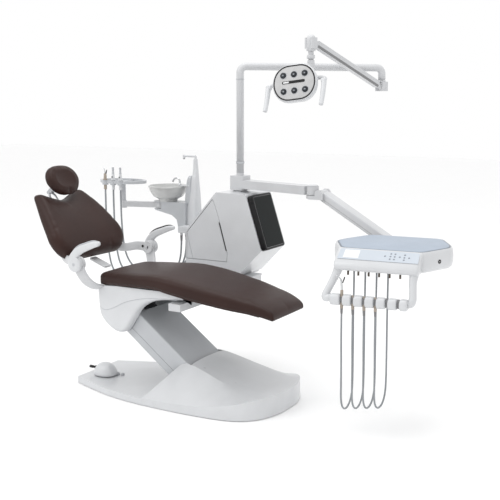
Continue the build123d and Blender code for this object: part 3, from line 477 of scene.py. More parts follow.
def remeshed(name, outline, low, high, voxel):
    """A dense prism over an outline, in its own frame in millimetres, as an object."""
    bottom = [(x * MM, y * MM, low * MM) for x, y in outline]
    top = [(x * MM, y * MM, high * MM) for x, y in outline]
    mesh = bpy.data.meshes.new(name)
    mesh.from_pydata(*[loft([bottom, top])[0]], [], loft([bottom, top])[1])
    shape = bmesh.new()
    shape.from_mesh(mesh)
    bmesh.ops.recalc_face_normals(shape, faces=shape.faces)
    shape.to_mesh(mesh)
    shape.free()
    piece = bpy.data.objects.new(name, mesh)
    SCENE.collection.objects.link(piece)
    grid = piece.modifiers.new("grid", "REMESH")
    grid.mode = "VOXEL"
    grid.voxel_size = voxel * MM
    return applied(piece)


def inflate(piece, cap, pressure=4.0, frames=20):
    """Lets a closed mesh swell as cloth under pressure, no point further than the cap in millimetres."""
    start = np.empty(len(piece.data.vertices) * 3)
    piece.data.vertices.foreach_get("co", start)
    start = start.reshape(-1, 3)
    cloth = piece.modifiers.new("swell", "CLOTH")
    cloth.settings.use_pressure = True
    cloth.settings.uniform_pressure_force = pressure
    cloth.settings.tension_stiffness = 18
    cloth.settings.compression_stiffness = 18
    cloth.settings.quality = 5
    cloth.settings.effector_weights.gravity = 0
    cloth.point_cache.frame_start = 1
    cloth.point_cache.frame_end = frames
    for number in range(1, frames + 1):
        SCENE.frame_set(number)
    graph = bpy.context.evaluated_depsgraph_get()
    swollen = piece.evaluated_get(graph).to_mesh()
    end = np.empty(len(swollen.vertices) * 3)
    swollen.vertices.foreach_get("co", end)
    end = end.reshape(-1, 3)
    piece.modifiers.clear()
    SCENE.frame_set(1)
    move = end - start
    far = np.linalg.norm(move, axis=1)[:, None]
    move *= np.minimum(1, cap * MM / np.maximum(far, 1e-9))
    piece.data.vertices.foreach_set("co", (start + move).ravel())
    piece.data.update()


def cushion(name, outline, span, heights, edges, placed, voxel, swell, body, node):
    """A crowned cushion over an outline: heights gives its top and bottom, edges the two edge radii."""
    piece = remeshed(name, outline, 0, span, voxel)
    co = np.empty(len(piece.data.vertices) * 3)
    piece.data.vertices.foreach_get("co", co)
    co = co.reshape(-1, 3) / MM
    depth = outline_distance(co[:, :2], outline)
    top, bottom = heights(co[:, 0], co[:, 1], depth)
    top_edge, bottom_edge = edges
    fall = 1 - np.clip(depth / top_edge, 0, 1)
    top = top - top_edge * (1 - np.sqrt(np.maximum(0, 1 - fall ** 2.2)))
    rise = 1 - np.clip(depth / bottom_edge, 0, 1)
    bottom = bottom + bottom_edge * (1 - np.sqrt(np.maximum(0, 1 - rise ** 2)))
    share = np.clip(co[:, 2] / span, 0, 1)
    co[:, 2] = bottom + (top - bottom) * share
    piece.data.vertices.foreach_set("co", (co * MM).ravel())
    piece.data.update()
    ease = piece.modifiers.new("ease", "SMOOTH")
    ease.factor = 0.5
    ease.iterations = 6
    applied(piece)
    inflate(piece, swell)
    scaled = placed.copy()
    scaled.translation = scaled.translation * MM
    piece.data.transform(scaled)
    smooth(piece, 1)
    applied(piece)
    dress(piece, body, LEATHER, (node,), 180)
    return piece


def seam(name, cushion_piece, path, placed, lift, body, radius=1.5):
    """A sewn seam laid on a cushion: path in the cushion's frame, dropped onto its skin from outside."""
    tree = BVHTree.FromObject(cushion_piece, bpy.context.evaluated_depsgraph_get())
    points = []
    for x, y, z in path:
        spot = tree.find_nearest((placed @ Vector((x, y, z))) * MM)
        points.append(spot[0] + spot[1] * lift * MM)
    data = bpy.data.curves.new(name, "CURVE")
    data.dimensions = "3D"
    line = data.splines.new("NURBS")
    line.points.add(len(points) - 1)
    for point, place in zip(line.points, points):
        point.co = (*place, 1)
    line.use_cyclic_u = True
    line.order_u = 4
    data.bevel_depth = radius * MM
    data.bevel_resolution = 3
    piece = bpy.data.objects.new(name, data)
    SCENE.collection.objects.link(piece)
    data.materials.append(SEAM)
    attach(piece, body)
    return piece


SEAT_TOP = [(-372, 655), (-150, 667), (19, 674), (167, 659), (314, 634), (460, 606), (602, 571), (689, 532)]
SEAT_BOTTOM = [(-372, 588), (-30, 606), (94, 593), (235, 569), (424, 539), (595, 516), (689, 492)]
SEAT_OUTLINE = [(-372, 212), (-200, 238), (0, 252), (165, 258), (400, 235), (560, 205), (689, 180)]
BACK_FOOT = (-535, 705)
BACK_UP = (-cos(radians(51.5)), sin(radians(51.5)))
BACK_OUT = (sin(radians(51.5)), cos(radians(51.5)))
BACK_OUTLINE = [(0, 205), (48, 280), (130, 300), (290, 256), (448, 200), (458, 165), (402, 0)]
BACK_PROFILE = [(-10, 22), (60, 38), (160, 44), (300, 36), (400, 20), (470, 2)]


def curve_value(points, x):
    """A smooth curve through points, read at many places."""
    dense = np.array(spline(points, 12))
    return np.interp(x, dense[:, 0], dense[:, 1])


def closed_outline(half, radius, inset=0.0):
    """A half outline and its mirror image, corners rounded."""
    points = half + [(x, -y) for x, y in reversed(half) if y]
    made = rounded(points, radius, 8)
    if not inset:
        return made
    centre = Vector((sum(p[0] for p in made) / len(made), sum(p[1] for p in made) / len(made)))
    return [tuple(Vector(p) + (centre - Vector(p)).normalized() * inset) for p in made]


def add_seat():
    half = [tuple(p) for p in spline(SEAT_OUTLINE, 4)]
    half = [(x + (3 if x < -370 else -4 if x > 687 else 0), y - 3) for x, y in half]
    outline = closed_outline(half, 14)

    def heights(x, y, depth):
        half_width = np.interp(x, [p[0] for p in SEAT_OUTLINE], [p[1] for p in SEAT_OUTLINE])
        crown = 7 * (1 - np.clip(np.abs(y) / half_width, 0, 1) ** 2)
        return curve_value(SEAT_TOP, x) - 7 + crown, curve_value(SEAT_BOTTOM, x) - 3

    level = Matrix.Identity(4)
    piece = cushion("seat_pad", outline, 80, heights, (20, 8), level, 7, 5, "carriage", "seat_cushion")
    path = [(x, y, float(curve_value(SEAT_BOTTOM, np.array([x]))[0]) + 10) for x, y in outline]
    seam("seat_seam", piece, path, level, -0.6, "carriage")


def back_matrix():
    foot = (BACK_FOOT[0], 0, BACK_FOOT[1])
    return matrix(foot, (BACK_UP[0], 0, BACK_UP[1]), (BACK_OUT[0], 0, BACK_OUT[1]))


def add_back():
    outline = closed_outline([(up + 2 if up < 40 else up - 2, max(0, y - 2)) for up, y in BACK_OUTLINE], 38)
    placed = back_matrix()

    def heights(up, y, depth):
        top = curve_value(BACK_PROFILE, up)
        rise = np.clip((up - 180) / 220, 0, 1)
        cup = 20 * np.clip(1 - (y / 170) ** 2, 0, 1) * rise * rise
        foot = np.clip((up - 20) / 100, 0, 1)
        return top + 1 - cup * foot, np.full(len(up), -33.5)

    piece = cushion("back_pad", outline, 80, heights, (34, 14), placed, 7, 6, "backrest",
                    "backrest_cushion")
    path = [(x, y, -14) for x, y in outline]
    seam("back_seam", piece, path, placed, -0.6, "backrest")


def head_matrix(depth):
    tilt = radians(11.5)
    up = (BACK_UP[0] * cos(tilt) + BACK_OUT[0] * sin(tilt), BACK_UP[1] * cos(tilt) + BACK_OUT[1] * sin(tilt))
    out = (BACK_OUT[0] * cos(tilt) - BACK_UP[0] * sin(tilt), BACK_OUT[1] * cos(tilt) - BACK_UP[1] * sin(tilt))
    centre = [BACK_FOOT[i] + BACK_UP[i] * 478 + BACK_OUT[i] * 72 + out[i] * depth for i in range(2)]
    return matrix((centre[0], 0, centre[1]), (up[0], 0, up[1]), (out[0], 0, out[1]))


def add_head():
    half = [(-92, 0), (-90, 46), (-66, 94), (-12, 128), (44, 116), (80, 70), (89, 0)]
    half = [tuple(p) for p in spline(half, 5)]
    outline = half + [(x, -y) for x, y in reversed(half[1:-1])]
    placed = head_matrix(-25)

    def heights(up, y, depth):
        bowl = 9 * np.clip(1 - (y / 90) ** 2, 0, 1) * np.clip(1 - ((up + 5) / 60) ** 2, 0, 1)
        return 47 - bowl, np.ones_like(up)

    piece = cushion("head_pad", outline, 50, heights, (30, 20), placed, 5, 5, "headrest",
                    "headrest_cushion")
    seam("head_seam", piece, [(x, y, 19) for x, y in outline], placed, -0.5, "headrest", 1.3)


# ---- base ----------------------------------------------------------------------------
BASE_HALF = [(-555, 186), (-400, 246), (-227, 300), (-60, 327), (100, 338), (250, 342), (400, 336),
             (500, 322),
             (570, 294), (625, 244), (660, 178), (679, 112), (686, 60)]
HUMP_STATIONS = [(-20, 37, 300, 40, 40), (118, 42, 163, 190, 196), (200, 45, 166, 205, 214),
                 (380, 58, 190, 157, 170),
                 (520, 83, 205, 120, 132), (600, 101, 176, 112, 118), (650, 106, 130, 109, 112),
                 (686, 107, 44, 107, 108)]
SLOT_X1 = 192
REAR_TOP = 37


def base_width(x):
    return float(np.interp(x, *np.array(spline(BASE_HALF, 10))[:, :2].T))


def hump_values(x):
    dense = np.array(spline(HUMP_STATIONS, 12))
    wall, ridge, ridge_z, middle = (float(np.interp(x, dense[:, 0], dense[:, k])) for k in range(1, 5))
    if x <= 118:
        t = (x + 15) / 133
        wall, ridge, ridge_z = 37 + 5 * t, 315 - 150 * t, 37 + 153 * t
    return wall, min(ridge, base_width(x) - 8), ridge_z, middle


def add_base():
    """The moulded base: a low plate behind, and a hump with one flat facet each side and a crowned top."""
    verts, faces, index = [], [], {}

    def point(key, place):
        if key not in index:
            index[key] = len(verts)
            verts.append(place)
        return index[key]

    def quad(*keys):
        corners = []
        for key in keys:
            if index[key] not in corners:
                corners.append(index[key])
        if len(corners) > 2:
            faces.append(tuple(corners))

    rear = [-555 + (540 / 18) * i for i in range(19)]
    side = [-15 + 133 * i / 8 for i in range(1, 9)]
    slot = [118 + 74 * i / 4 for i in range(1, 5)]
    front = [SLOT_X1 + (686 - SLOT_X1) * sin(pi / 2 * i / 30) for i in range(1, 31)]
    facet, crown = 4, 12
    for sign in (1, -1):
        columns = []
        for x in rear + side + slot + front:
            width = base_width(x)
            wall, ridge, ridge_z, middle = hump_values(x) if x > -15 else (REAR_TOP, width - 8, REAR_TOP,
                                                                           REAR_TOP)
            keys = [point((x, sign, "foot"), (x, sign * width, 3)),
                    point((x, sign, "wall"), (x, sign * (width - 2), wall))]
            for i in range(1, facet + 1):
                t = i / facet
                y = width - 2 + (ridge - width + 2) * t
                point((x, sign, "facet", i), (x, sign * y, wall + (ridge_z - wall) * t))
            columns.append(x)
            if x > 191:
                for i in range(1, crown + 1):
                    y = ridge * (1 - i / crown)
                    z = ridge_z + (middle - ridge_z) * (1 - (y / ridge) ** 2)
                    name = (x, "middle") if i == crown else (x, sign, "crown", i)
                    point(name, (x, sign * y, z))
            if x <= 192:
                point((x, sign, "floor"), (x, sign * (ridge if x > -15 else width - 8), REAR_TOP))
                point((x, "floor"), (x, 0, REAR_TOP))
        for a, b in zip(columns, columns[1:]):
            quad((a, sign, "foot"), (b, sign, "foot"), (b, sign, "wall"), (a, sign, "wall"))
            quad((a, sign, "wall"), (b, sign, "wall"), (b, sign, "facet", 1), (a, sign, "facet", 1))
            for i in range(1, facet):
                quad((a, sign, "facet", i), (b, sign, "facet", i), (b, sign, "facet", i + 1),
                     (a, sign, "facet", i + 1))
            if b <= 192:
                quad((a, sign, "facet", facet), (b, sign, "facet", facet), (b, sign, "floor"),
                     (a, sign, "floor"))
                quad((a, sign, "floor"), (b, sign, "floor"), (b, "floor"), (a, "floor"))
            if a > 191:
                names = [lambda x: (x, sign, "facet", facet)]
                names += [lambda x, i=i: (x, sign, "crown",
                                          i) for i in range(1, crown)] + [lambda x: (x, "middle")]
                for near, far in zip(names, names[1:]):
                    quad(near(a), near(b), far(b), far(a))
        last = columns[-1]
        loop = [(last, sign, "foot"),
                (last, sign, "wall")] + [(last, sign, "facet", i) for i in range(1, facet + 1)]
        loop += [(last, sign, "crown", i) for i in range(1, crown)] + [(last, "middle")]
        point((last, "foot"), (last, 0, 3))
        faces.append(tuple(index[k] for k in loop + [(last, "foot")]))
        first = columns[0]
        loop = [(first, sign, "foot"), (first, sign, "wall"), (first, sign, "floor"), (first, "floor")]
        point((first, "foot"), (first, 0, 3))
        faces.append(tuple(index[k] for k in loop + [(first, "foot")]))
    piece = new_mesh("base_shell", verts, faces, "base", SHELL, "white_shell", ("base_cover",), 24)
    wall = piece.modifiers.new("wall", "SOLIDIFY")
    wall.thickness = 3.5 * MM
    wall.offset = -1
    bevel(piece, 5, 4, 26)
    well = [(58, -150), (190, -150), (190, 150), (58, 150)]
    slab("base_well", well, 1.5, Matrix.Translation((0, 0, 37.2)), "base", DARK, "dark_plastic", edge=0.5)
    foot_line = [(x * 0.985, y * 0.985, 1.5) for x, y in closed_outline(BASE_HALF, 10)]
    ring_low = [(x, y, 0.2) for x, y, z in foot_line]
    ring_high = [(x, y, 5) for x, y, z in foot_line]
    new_mesh("base_foot", *loft([ring_low, ring_high]), "base", DARK, "dark_plastic")


def add_foot_control():
    rings = []
    for height, scale in ((37, 1.0), (50, 1.02), (68, 0.97), (86, 0.85), (100, 0.64), (109, 0.38),
                          (112, 0.12)):
        ring = [(-432 + a, -90 + b, height) for a, b in superellipse(68 * scale, 56 * scale, 2.3, 48)]
        rings.append(ring)
    pod = new_mesh("foot_pod", *loft(rings), "base", SHELL, "white_shell", ("foot_control",), 60)
    smooth(pod, 1)
    for number, (x, y) in enumerate(((-374, -52), (-348, -44))):
        lathe(f"foot_pedal_{number}",
              [(2, 0), (9, 0), (11, 3), (10, 12 - 3 * number), (6, 16 - 3 * number), (1, 17 - 3 * number)],
              (x, y, 37), (0, 0, 1), "base", SHELL_GREY_AND_SHADE, "white_shell", around=24)
    carry("foot_joystick", DARK, 0.8)
    lathe("joystick_boot", [(4, 0), (10, 0), (9.5, 3), (7.5, 5), (8.5, 8), (6.5, 10), (7, 13), (4.6, 16)],
          (-499, -90, 74), (-1, 0, 0), "base", DARK, "dark_plastic", around=24)


# ---- seat cover and hip --------------------------------------------------------------
COVER_PROFILE = [(-385, 583), (-384, 517), (-373, 428), (-340, 380), (-299, 350), (-259, 334), (-216, 338),
                 (-185, 362), (-145, 420), (-100, 482), (-40, 519), (33, 538), (133, 547), (225, 559),
                 (236, 563)]


def add_seat_cover():
    """The moulded skirt under the seat, its lower edges rolled in and a channel left for the lift arm."""
    low = [tuple(p) for p in spline(COVER_PROFILE, 4)]
    shelf = [236 - 621 * i / 24 for i in range(1, 24)]
    top = [(x, float(curve_value(SEAT_BOTTOM, np.array([max(-371, x)]))[0]) - 5)
           for x in shelf]
    loop = low + top
    count = len(loop)
    inward = []
    for i in range(count):
        ahead, behind = Vector(loop[(i + 1) % count]), Vector(loop[i - 1])
        run = (ahead - behind).normalized()
        inward.append((-run.y, run.x) if i < len(low) else (0, 0))
    rings = []
    for y, inset in ((-210, 26), (-209, 17), (-205, 10), (-198, 5), (-188, 1.5), (-174, 0), (174, 0),
                     (188, 1.5),
                     (198, 5), (205, 10), (209, 17), (210, 26)):
        rings.append([(x + n[0] * inset, y, min(590, z + n[1] * inset)) for (x, z), n in zip(loop, inward)])
    cover = new_mesh("seat_skirt", *loft(rings), "carriage", SHELL, "white_shell", ("seat_cover",), 40)
    channel = [(-378, 640), (-377, 517), (-366, 430), (-336, 390), (-292, 357), (-292, 200), (500, 200),
               (500, 640)]
    sides = [[(x, y, z) for x, z in channel] for y in (-166, 166)]
    cutter = new_mesh("cutter", *loft(sides), "carriage", SHELL)
    cut = cover.modifiers.new("cut", "BOOLEAN")
    cut.object = cutter
    cut.solver = "EXACT"
    world = cover.matrix_world.copy()
    graph = bpy.context.evaluated_depsgraph_get()
    cover.data = bpy.data.meshes.new_from_object(cover.evaluated_get(graph))
    cover.modifiers.clear()
    cover.matrix_world = world
    bpy.data.objects.remove(cutter)
    cover.data.shade_smooth()
    cover.data.set_sharp_from_angle(angle=radians(38))
    # A thin greyer line along each side of the skirt: painted shade in the skirt's crease.
    for side in (-1, 1):
        line = [(-372, side * 210.2, 470), (-330, side * 210.4, 452), (-270, side * 210.4, 470),
                (-200, side * 210.4, 505),
                (-120, side * 210.4, 530), (-40, side * 210.3, 545), (60, side * 210.2, 553)]
        tube(f"skirt_crease_shade_{'left' if side > 0 else 'right'}", line, [0.5, 1.4, 1.8, 1.8, 1.6, 1.2, 0.4],
             "carriage",
             SHELL_GREY_AND_SHADE, "white_shell", squash=0.5, around=12)


def flat_bar(name, line, widths, thick, body, skin, slot, replaces=()):
    """A flat, smoothly bent bar standing on edge: line of points, its half heights and its half thickness."""
    stations = spline([(*p, w) for p, w in zip(line, widths)], 6)
    rings = []
    for i, station in enumerate(stations):
        ahead, behind = stations[min(i + 1, len(stations) - 1)], stations[max(i - 1, 0)]
        run = Vector(ahead[:3] - behind[:3]).normalized()
        over = run.cross(Vector((0, 1, 0))).normalized()
        beside = over.cross(run).normalized()
        here = Vector(station[:3])
        rings.append([tuple(here + over * a + beside * b) for a,
                      b in superellipse(station[3], thick, 3.2, 32)])
    piece = new_mesh(name, *loft(rings), body, skin, slot, replaces)
    return bevel(piece, 2)


def add_hips():
    """Curved pillars from the hinge down to the seat's rear corners, and the backrest's arms and lever."""
    names = {1: "left", -1: "right"}
    for side in (1, -1):
        name = names[side]
        line = [(-413, side * 321, 716), (-400, side * 319, 672), (-382, side * 300, 626),
                (-368, side * 262, 592),
                (-360, side * 212, 574)]
        flat_bar(f"hip_pillar_{name}", line, [34, 32, 31, 30, 28], 9, "carriage", METAL, "white_metal",
                 ("hip_brackets",) if side > 0 else ())
        lathe(f"hip_hub_{name}", [(4, 0), (36, 0), (39, 2), (40, 5), (39, 11), (36, 13), (4, 13)],
              (-413, side * 314.4, 716), (0, side, 0), "carriage", METAL, "white_metal")
        lathe(f"hip_stub_{name}", [(1, 0), (9.9, 0), (9.9, 44), (8, 45), (1, 45)],
              (-413, side * 313, 716), (0, side, 0), "carriage", BRIGHT, "steel_bright", around=32)
        lathe(f"back_eye_{name}", [(10.3, 0), (34, 0), (36, 1.5), (36, 10), (34, 11.5), (10.3, 11.5)],
              (-413, side * 301.6, 716), (0, side, 0), "backrest", METAL, "white_metal")
        line = [(-413, side * 307, 716), (-446, side * 301, 722), (-480, side * 284, 724),
                (-522, side * 262, 716),
                (-566, side * 240, 716), (-612, side * 215, 738)]
        flat_bar(f"back_arm_{name}", line, [30, 27, 25, 24, 24, 22], 6, "backrest", METAL, "white_metal")
        lathe(f"back_screw_{name}", [(1, 0), (8, 0), (8.5, 1), (7, 2.4), (1, 2.6)],
                     (-440, side * 297, 722), (0, -1, 0), "backrest", DARK, "dark_plastic", around=28)
    placed = back_matrix()
    plate = [(16, 0), (18, 175), (60, 240), (140, 250), (280, 210), (385, 150), (380, 0)]
    plate = rounded(plate[1:-1] + [(x, -y) for x, y in reversed(plate[1:-1])], 30, 6)
    low = placed.copy()
    low.translation = placed @ Vector((0, 0, -43))
    slab("back_plate", plate, 9.5, low, "backrest", METAL, "white_metal", ("backrest_frame",), edge=3)
    guide = [(230, -46), (380, -46), (380, 46), (230, 46)]
    low.translation = placed @ Vector((0, 0, -70))
    slab("back_guide", rounded(guide, 16, 5), 27.5, low, "backrest", SHELL_GREY_AND_SHADE, "white_metal", edge=4)
    tilt = matrix((0, 0, 640), (0.94, 0, -0.34), (0.34, 0, 0.94))
    base = tilt.inverted() @ Vector((-520, 0, 664))
    outline = [(base.x - 62, -28), (base.x + 58, -28), (base.x + 58, 28), (base.x - 62, 28)]
    tilt.translation = tilt @ Vector((0, 0, base.z - 6))
    slab("back_lever", rounded(outline, 10, 5), 12, tilt, "backrest", METAL, "white_metal", edge=3)


def add_armrests():
    """Swept armrests: a round hub, a waist and a long grip with a padded top."""
    names = {1: "left", -1: "right"}
    line = [(-428, 708), (-430, 736), (-412, 768), (-376, 796), (-328, 816), (-284, 832), (-256, 838)]
    widths = [27, 26, 23, 21, 19, 17, 13]
    for side in (1, -1):
        stations = spline([(*p, w) for p, w in zip(line, widths)], 6)
        rings = []
        for i, (x, z, half) in enumerate(stations):
            ahead, behind = stations[min(i + 1, len(stations) - 1)], stations[max(i - 1, 0)]
            run = Vector((ahead[0] - behind[0], ahead[1] - behind[1])).normalized()
            ring = [(x - run.y * a, side * 346 + b, z + run.x * a) for a,
                    b in superellipse(half, 15.6, 2.7, 36)]
            rings.append(ring)
        last = stations[-1]
        for push, shrink in ((5, 0.86), (8.5, 0.62), (10.5, 0.3)):
            run = Vector((28, 6)).normalized()
            rings.append([(last[0] + run.x * push - run.y * a * shrink, side * 346 + b * shrink,
                           last[1] + run.y * push + run.x * a * shrink)
                          for a, b in superellipse(last[2], 15.6, 2.7, 36)])
        node = f"armrest_{names[side]}"
        grip = new_mesh(f"armrest_grip_{names[side]}", *loft(rings), node, SHELL, "white_shell", (node,), 60)
        smooth(grip, 1)
        lathe(f"armrest_hub_{names[side]}",
              [(10.2, 0), (37, 0), (40, 2), (42, 7), (42, 22), (40.5, 27), (36, 30.5), (28, 31.6), (8, 32)],
              (-413, side * 330, 716), (0, side, 0), node, SHELL, "white_shell", around=64)
        lathe(f"armrest_cap_{names[side]}", [(1, 0), (8, 0), (8.6, 0.8), (7, 2.2), (1, 2.8)],
              (-413, side * 361.6, 716), (0, side, 0), node, DARK if side > 0 else SHELL_GREY_AND_SHADE,
              "dark_plastic", around=32)
        pad_line = [(x - 4, side * 346, z + 0.9 * w) for (x, z), w in zip(line[1:], widths[1:])]
        tube(f"armrest_pad_{names[side]}", pad_line, [5, 8, 10, 10, 9, 5], node,
             SHELL_GREY_AND_SHADE if side < 0 else DARK,
             "dark_plastic", squash=0.4, around=20)


# ---- side unit -----------------------------------------------------------------------
def add_unit():
    carry("unit_cover", SHELL, 4, 4)
    carry("unit_door", SHELL, 3, 3)
    carry("unit_crossbeam", METAL, 3)
    carry("unit_mast", METAL, 1.5)
    slot_low, slot_high = Vector((27, 704)), Vector((-20, 866))
    run = (slot_high - slot_low).normalized()
    length = (slot_high - slot_low).length
    placed = matrix((slot_low.x + run.y * 5.5, 473.5, slot_low.y - run.x * 5.5), (run.x, 0, run.y),
                    (0, -1, 0))
    strip = rounded([(0, -3), (length, -3), (length, 3), (0, 3)], 3, 5)
    slab("unit_grip_slot", strip, 4.2, placed, "unit_door", BLACK, "black_gloss", edge=0.6)
    # A thin greyer line down the door: painted shade in the door's fold.
    fold_shade_line = [(-238, 469.4, 792), (-222, 469.4, 728), (-197, 469.4, 634)]
    tube("door_fold_shade", fold_shade_line, [1.2, 1.4, 1.2], "unit_door", SHELL_GREY_AND_SHADE, "white_shell", squash=0.6,
         around=10)
    lathe("mast_collar", [(23, 0), (52, 0), (50, 3), (38, 8), (30, 16), (27.5, 26), (27, 44), (23, 45)],
          (40, 620, 1040), (0, 0, 1), "carriage", METAL, "white_metal")
    add_viewer()


def add_viewer():
    """The black light-box: a rounded case, a glass face, a thin bright frame and a latch."""
    low, high = Vector((262, 722)), Vector((160, 1040))
    run = (high - low).normalized()
    out = Vector((run.y, 0, -run.x))
    start = Vector((low.x + run.x * -4, 472, low.y + run.y * -4)) + out * 1.0
    length = (high - low).length - 8
    placed = matrix(start, (0, 1, 0), out)
    flip = 1 if (placed.to_3x3() @ Vector((0, 1, 0))).z > 0 else -1
    case = rounded([(2, 0), (234, 0), (234, flip * length), (2, flip * length)], 20, 8)
    slab("viewer_case", case, 34, placed, "carriage", BLACK, "black_gloss", ("viewer_panel",), edge=5,
         segments=5)
    face = placed.copy()
    face.translation = placed @ Vector((0, 0, 34))
    inner = rounded([(16, flip * 16), (220, flip * 16), (220, flip * (length - 16)),
                     (16, flip * (length - 16))], 12, 8)
    slab("viewer_glass", inner, 1.2, face, "carriage", GLASS, "black_gloss", edge=0.5)
    ring = [tuple(face @ Vector((x, y, 0.5))) for x, y in
            rounded([(13, flip * 13), (223, flip * 13), (223, flip * (length - 13)),
                     (13, flip * (length - 13))], 14, 8)]
    edge_loop("viewer_frame", ring, 0.8, "carriage", SHADE)
    latch = placed @ Vector((0, flip * (length - 40), 18))
    lathe("viewer_latch", [(1, 0), (8, 0), (8.6, 1), (7, 3), (3, 3.4), (1, 2.4)], tuple(latch), (0, -1, 0),
          "carriage",
          BLACK, "black_gloss", around=28)


def edge_loop(name, ring, radius, body, skin):
    """A thin closed wire along a loop of points, in millimetres."""
    data = bpy.data.curves.new(name, "CURVE")
    data.dimensions = "3D"
    line = data.splines.new("POLY")
    line.points.add(len(ring) - 1)
    for point, place in zip(line.points, ring):
        point.co = (*[c * MM for c in place], 1)
    line.use_cyclic_u = True
    data.bevel_depth = radius * MM
    data.bevel_resolution = 2
    piece = bpy.data.objects.new(name, data)
    SCENE.collection.objects.link(piece)
    data.materials.append(skin)
    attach(piece, body)
    return piece


def add_tower():
    """The spittoon's tall tower: a slender tapering body with a narrower spine on its left side."""
    stations = [(745, -368, -253, 620, 714), (875, -358, -276, 624, 712), (1000, -346, -281, 635, 702),
                (1095, -333, -286, 646, 692), (1125, -320, -288, 654, 689), (1170, -316, -291, 658, 686),
                (1214, -314, -294, 660, 684), (1218, -312, -296, 662, 682)]
    rings = []
    for z, x0, x1, y0, y1 in spline(stations, 4):
        rings.append([((x0 + x1) / 2 + a, (y0 + y1) / 2 + b, z)
                      for a, b in superellipse((x1 - x0) / 2, (y1 - y0) / 2, 4.2, 48)])
    tower = new_mesh("tower_shell", *loft(rings), "carriage", SHELL, "white_shell", ("spittoon_tower",))
    bevel(tower, 3)
    spine = [(905, -366, 27), (1000, -360, 26), (1070, -352, 22), (1100, -346, 18), (1116, -338, 10)]
    rings = []
    for z, x, half in spline(spine, 4):
        rings.append([((x - 318) / 2 + a, 656 + b, z) for a, b in superellipse((-318 - x) / 2, half, 4, 36)])
    ridge = new_mesh("tower_spine", *loft(rings), "carriage", SHELL_GREY_AND_SHADE, "white_shell")
    bevel(ridge, 3)
    tube("tower_seam", [(-368, 630, 850), (-368, 660, 850), (-366, 700, 850)], [1.2, 1.2, 1.2], "carriage",
         SHADE,
         "white_shell", around=10)
    carry("cup_filler", SHELL, 1.5)
    lathe("filler_tip", [(2, 0), (6.4, 0), (6.4, 3), (5.2, 4), (2, 4)], (-388, 672, 1218.4), (0, 0, -1),
          "cup_filler",
          DARK, "dark_plastic", around=24)
    line = [(-400, 640, 1060), (-400, 640, 1078), (-406, 641, 1092), (-422, 642.5, 1099), (-440, 645, 1095),
            (-452, 646.5, 1084), (-456, 647, 1074)]
    tube("rinse_tube", line, [6.6, 6.2, 6, 5.8, 5.6, 5.2, 5], "rinse_spout", CHROME, "chrome_spout",
         ("rinse_spout",))
    lathe("rinse_collar", [(2, 0), (11, 0), (11.5, 2), (10, 6), (7.6, 9), (2, 9)], (-400, 640, 1059),
          (0, 0, 1),
          "rinse_spout", CHROME, "chrome_spout", around=32)
    ledge = [(-412, 629), (-326, 629), (-326, 655), (-412, 655)]
    slab("spout_ledge", rounded(ledge, 9), 7, Matrix.Translation((0, 0, 1052)), "carriage", SHELL,
         "white_shell", edge=1.5)
    carry("bowl_support", SHELL_GREY_AND_SHADE, 6, 4)
    carry("bowl", BOWL, 2.5, 4)
    lathe("bowl_band", [(122.9, 0), (124.6, 1.5), (124.8, 9), (123.4, 11), (122.6, 11)], (-500, 660, 1038),
          (0, 0, 1),
          "carriage", BOWL, "bowl_ceramic", around=96)
    lathe("bowl_drain",
          [(1, 0), (4, 0.8), (5, 0), (9, 0.8), (10, 0), (14, 1.2), (18, 1.6), (19, 0.6), (19, -1), (1, -1)],
          (-500, 660, 971.5), (0, 0, 1), "carriage", CHROME, "chrome_spout", around=40)
    carry("hose_outlets", SHELL, 4)


# ---- assistant side ------------------------------------------------------------------
def add_assistant():
    carry("assistant_arm", METAL, 5, 4)
    carry("assistant_holder", SHELL_GREY_AND_SHADE, 3, 3)
    for number, x in enumerate((-870, -808, -752)):
        y = 506
        grip = [(2, 0), (9, 0), (9.6, 3), (9.6, 52), (8.4, 56), (8.4, 59), (14.6, 60), (15, 62), (15, 65),
                (14.4, 66),
                (9.8, 67), (9.4, 80), (8.6, 96), (7.8, 100), (2, 100)]
        lathe(f"assistant_grip_{number}", grip, (x, y, 1020), (0, 0, 1), "assistant_arm",
              BEIGE if number == 0 else SHELL, "beige_plastic",
              ("assistant_instruments",) if number == 0 else (),
              around=36)
        if number == 0:
            line = [(x, y, 1118), (x - 1, y, 1132), (x - 7, y, 1148), (x - 17, y, 1160)]
            tube("assistant_syringe_tip", line, [5.5, 4.2, 3, 2], "assistant_arm", CHROME, "chrome_spout",
                 around=20)
            tube("assistant_syringe_lever", [(x + 5, y, 1112), (x + 11, y, 1130), (x + 14, y, 1142)],
                 [2.4, 3, 2.4],
                 "assistant_arm", DARK, "dark_plastic", around=16)
        else:
            lathe(f"assistant_tip_{number}",
                  [(2, 0), (8, 0), (8, 8), (6.4, 11), (6.4, 24), (7.4, 27), (7, 40), (4, 42),
                                              (2, 42)], (x, y, 1119), (0, 0, 1), "assistant_arm", SHELL_GREY_AND_SHADE,
                  "beige_plastic", around=32)
            lathe(f"assistant_switch_{number}", [(1, 0), (4, 0), (4.4, 2), (3.4, 6), (1, 6.6)],
                  (x, y - 8, 1100),
                  (0, -1, 0), "assistant_arm", DARK, "dark_plastic", around=20)


# ---- delivery side -------------------------------------------------------------------
TRAY_OUTLINE = [(-205, -238), (-297, -30), (-285, 40), (-198, 240), (198, 240), (285, 40), (297, -30),
                (205, -238)]


def tray_matrix(height=0.0):
    made = Matrix.Rotation(TRAY_YAW, 4, "Z")
    made.translation = Vector((*TRAY_CENTRE, height))
    return made


def tray_ring(scale_x, scale_y, height, radius):
    outline = rounded([(x * scale_x, y * scale_y) for x, y in TRAY_OUTLINE], radius, 7)
    return [tuple(tray_matrix() @ Vector((x, y, height))) for x, y in outline]


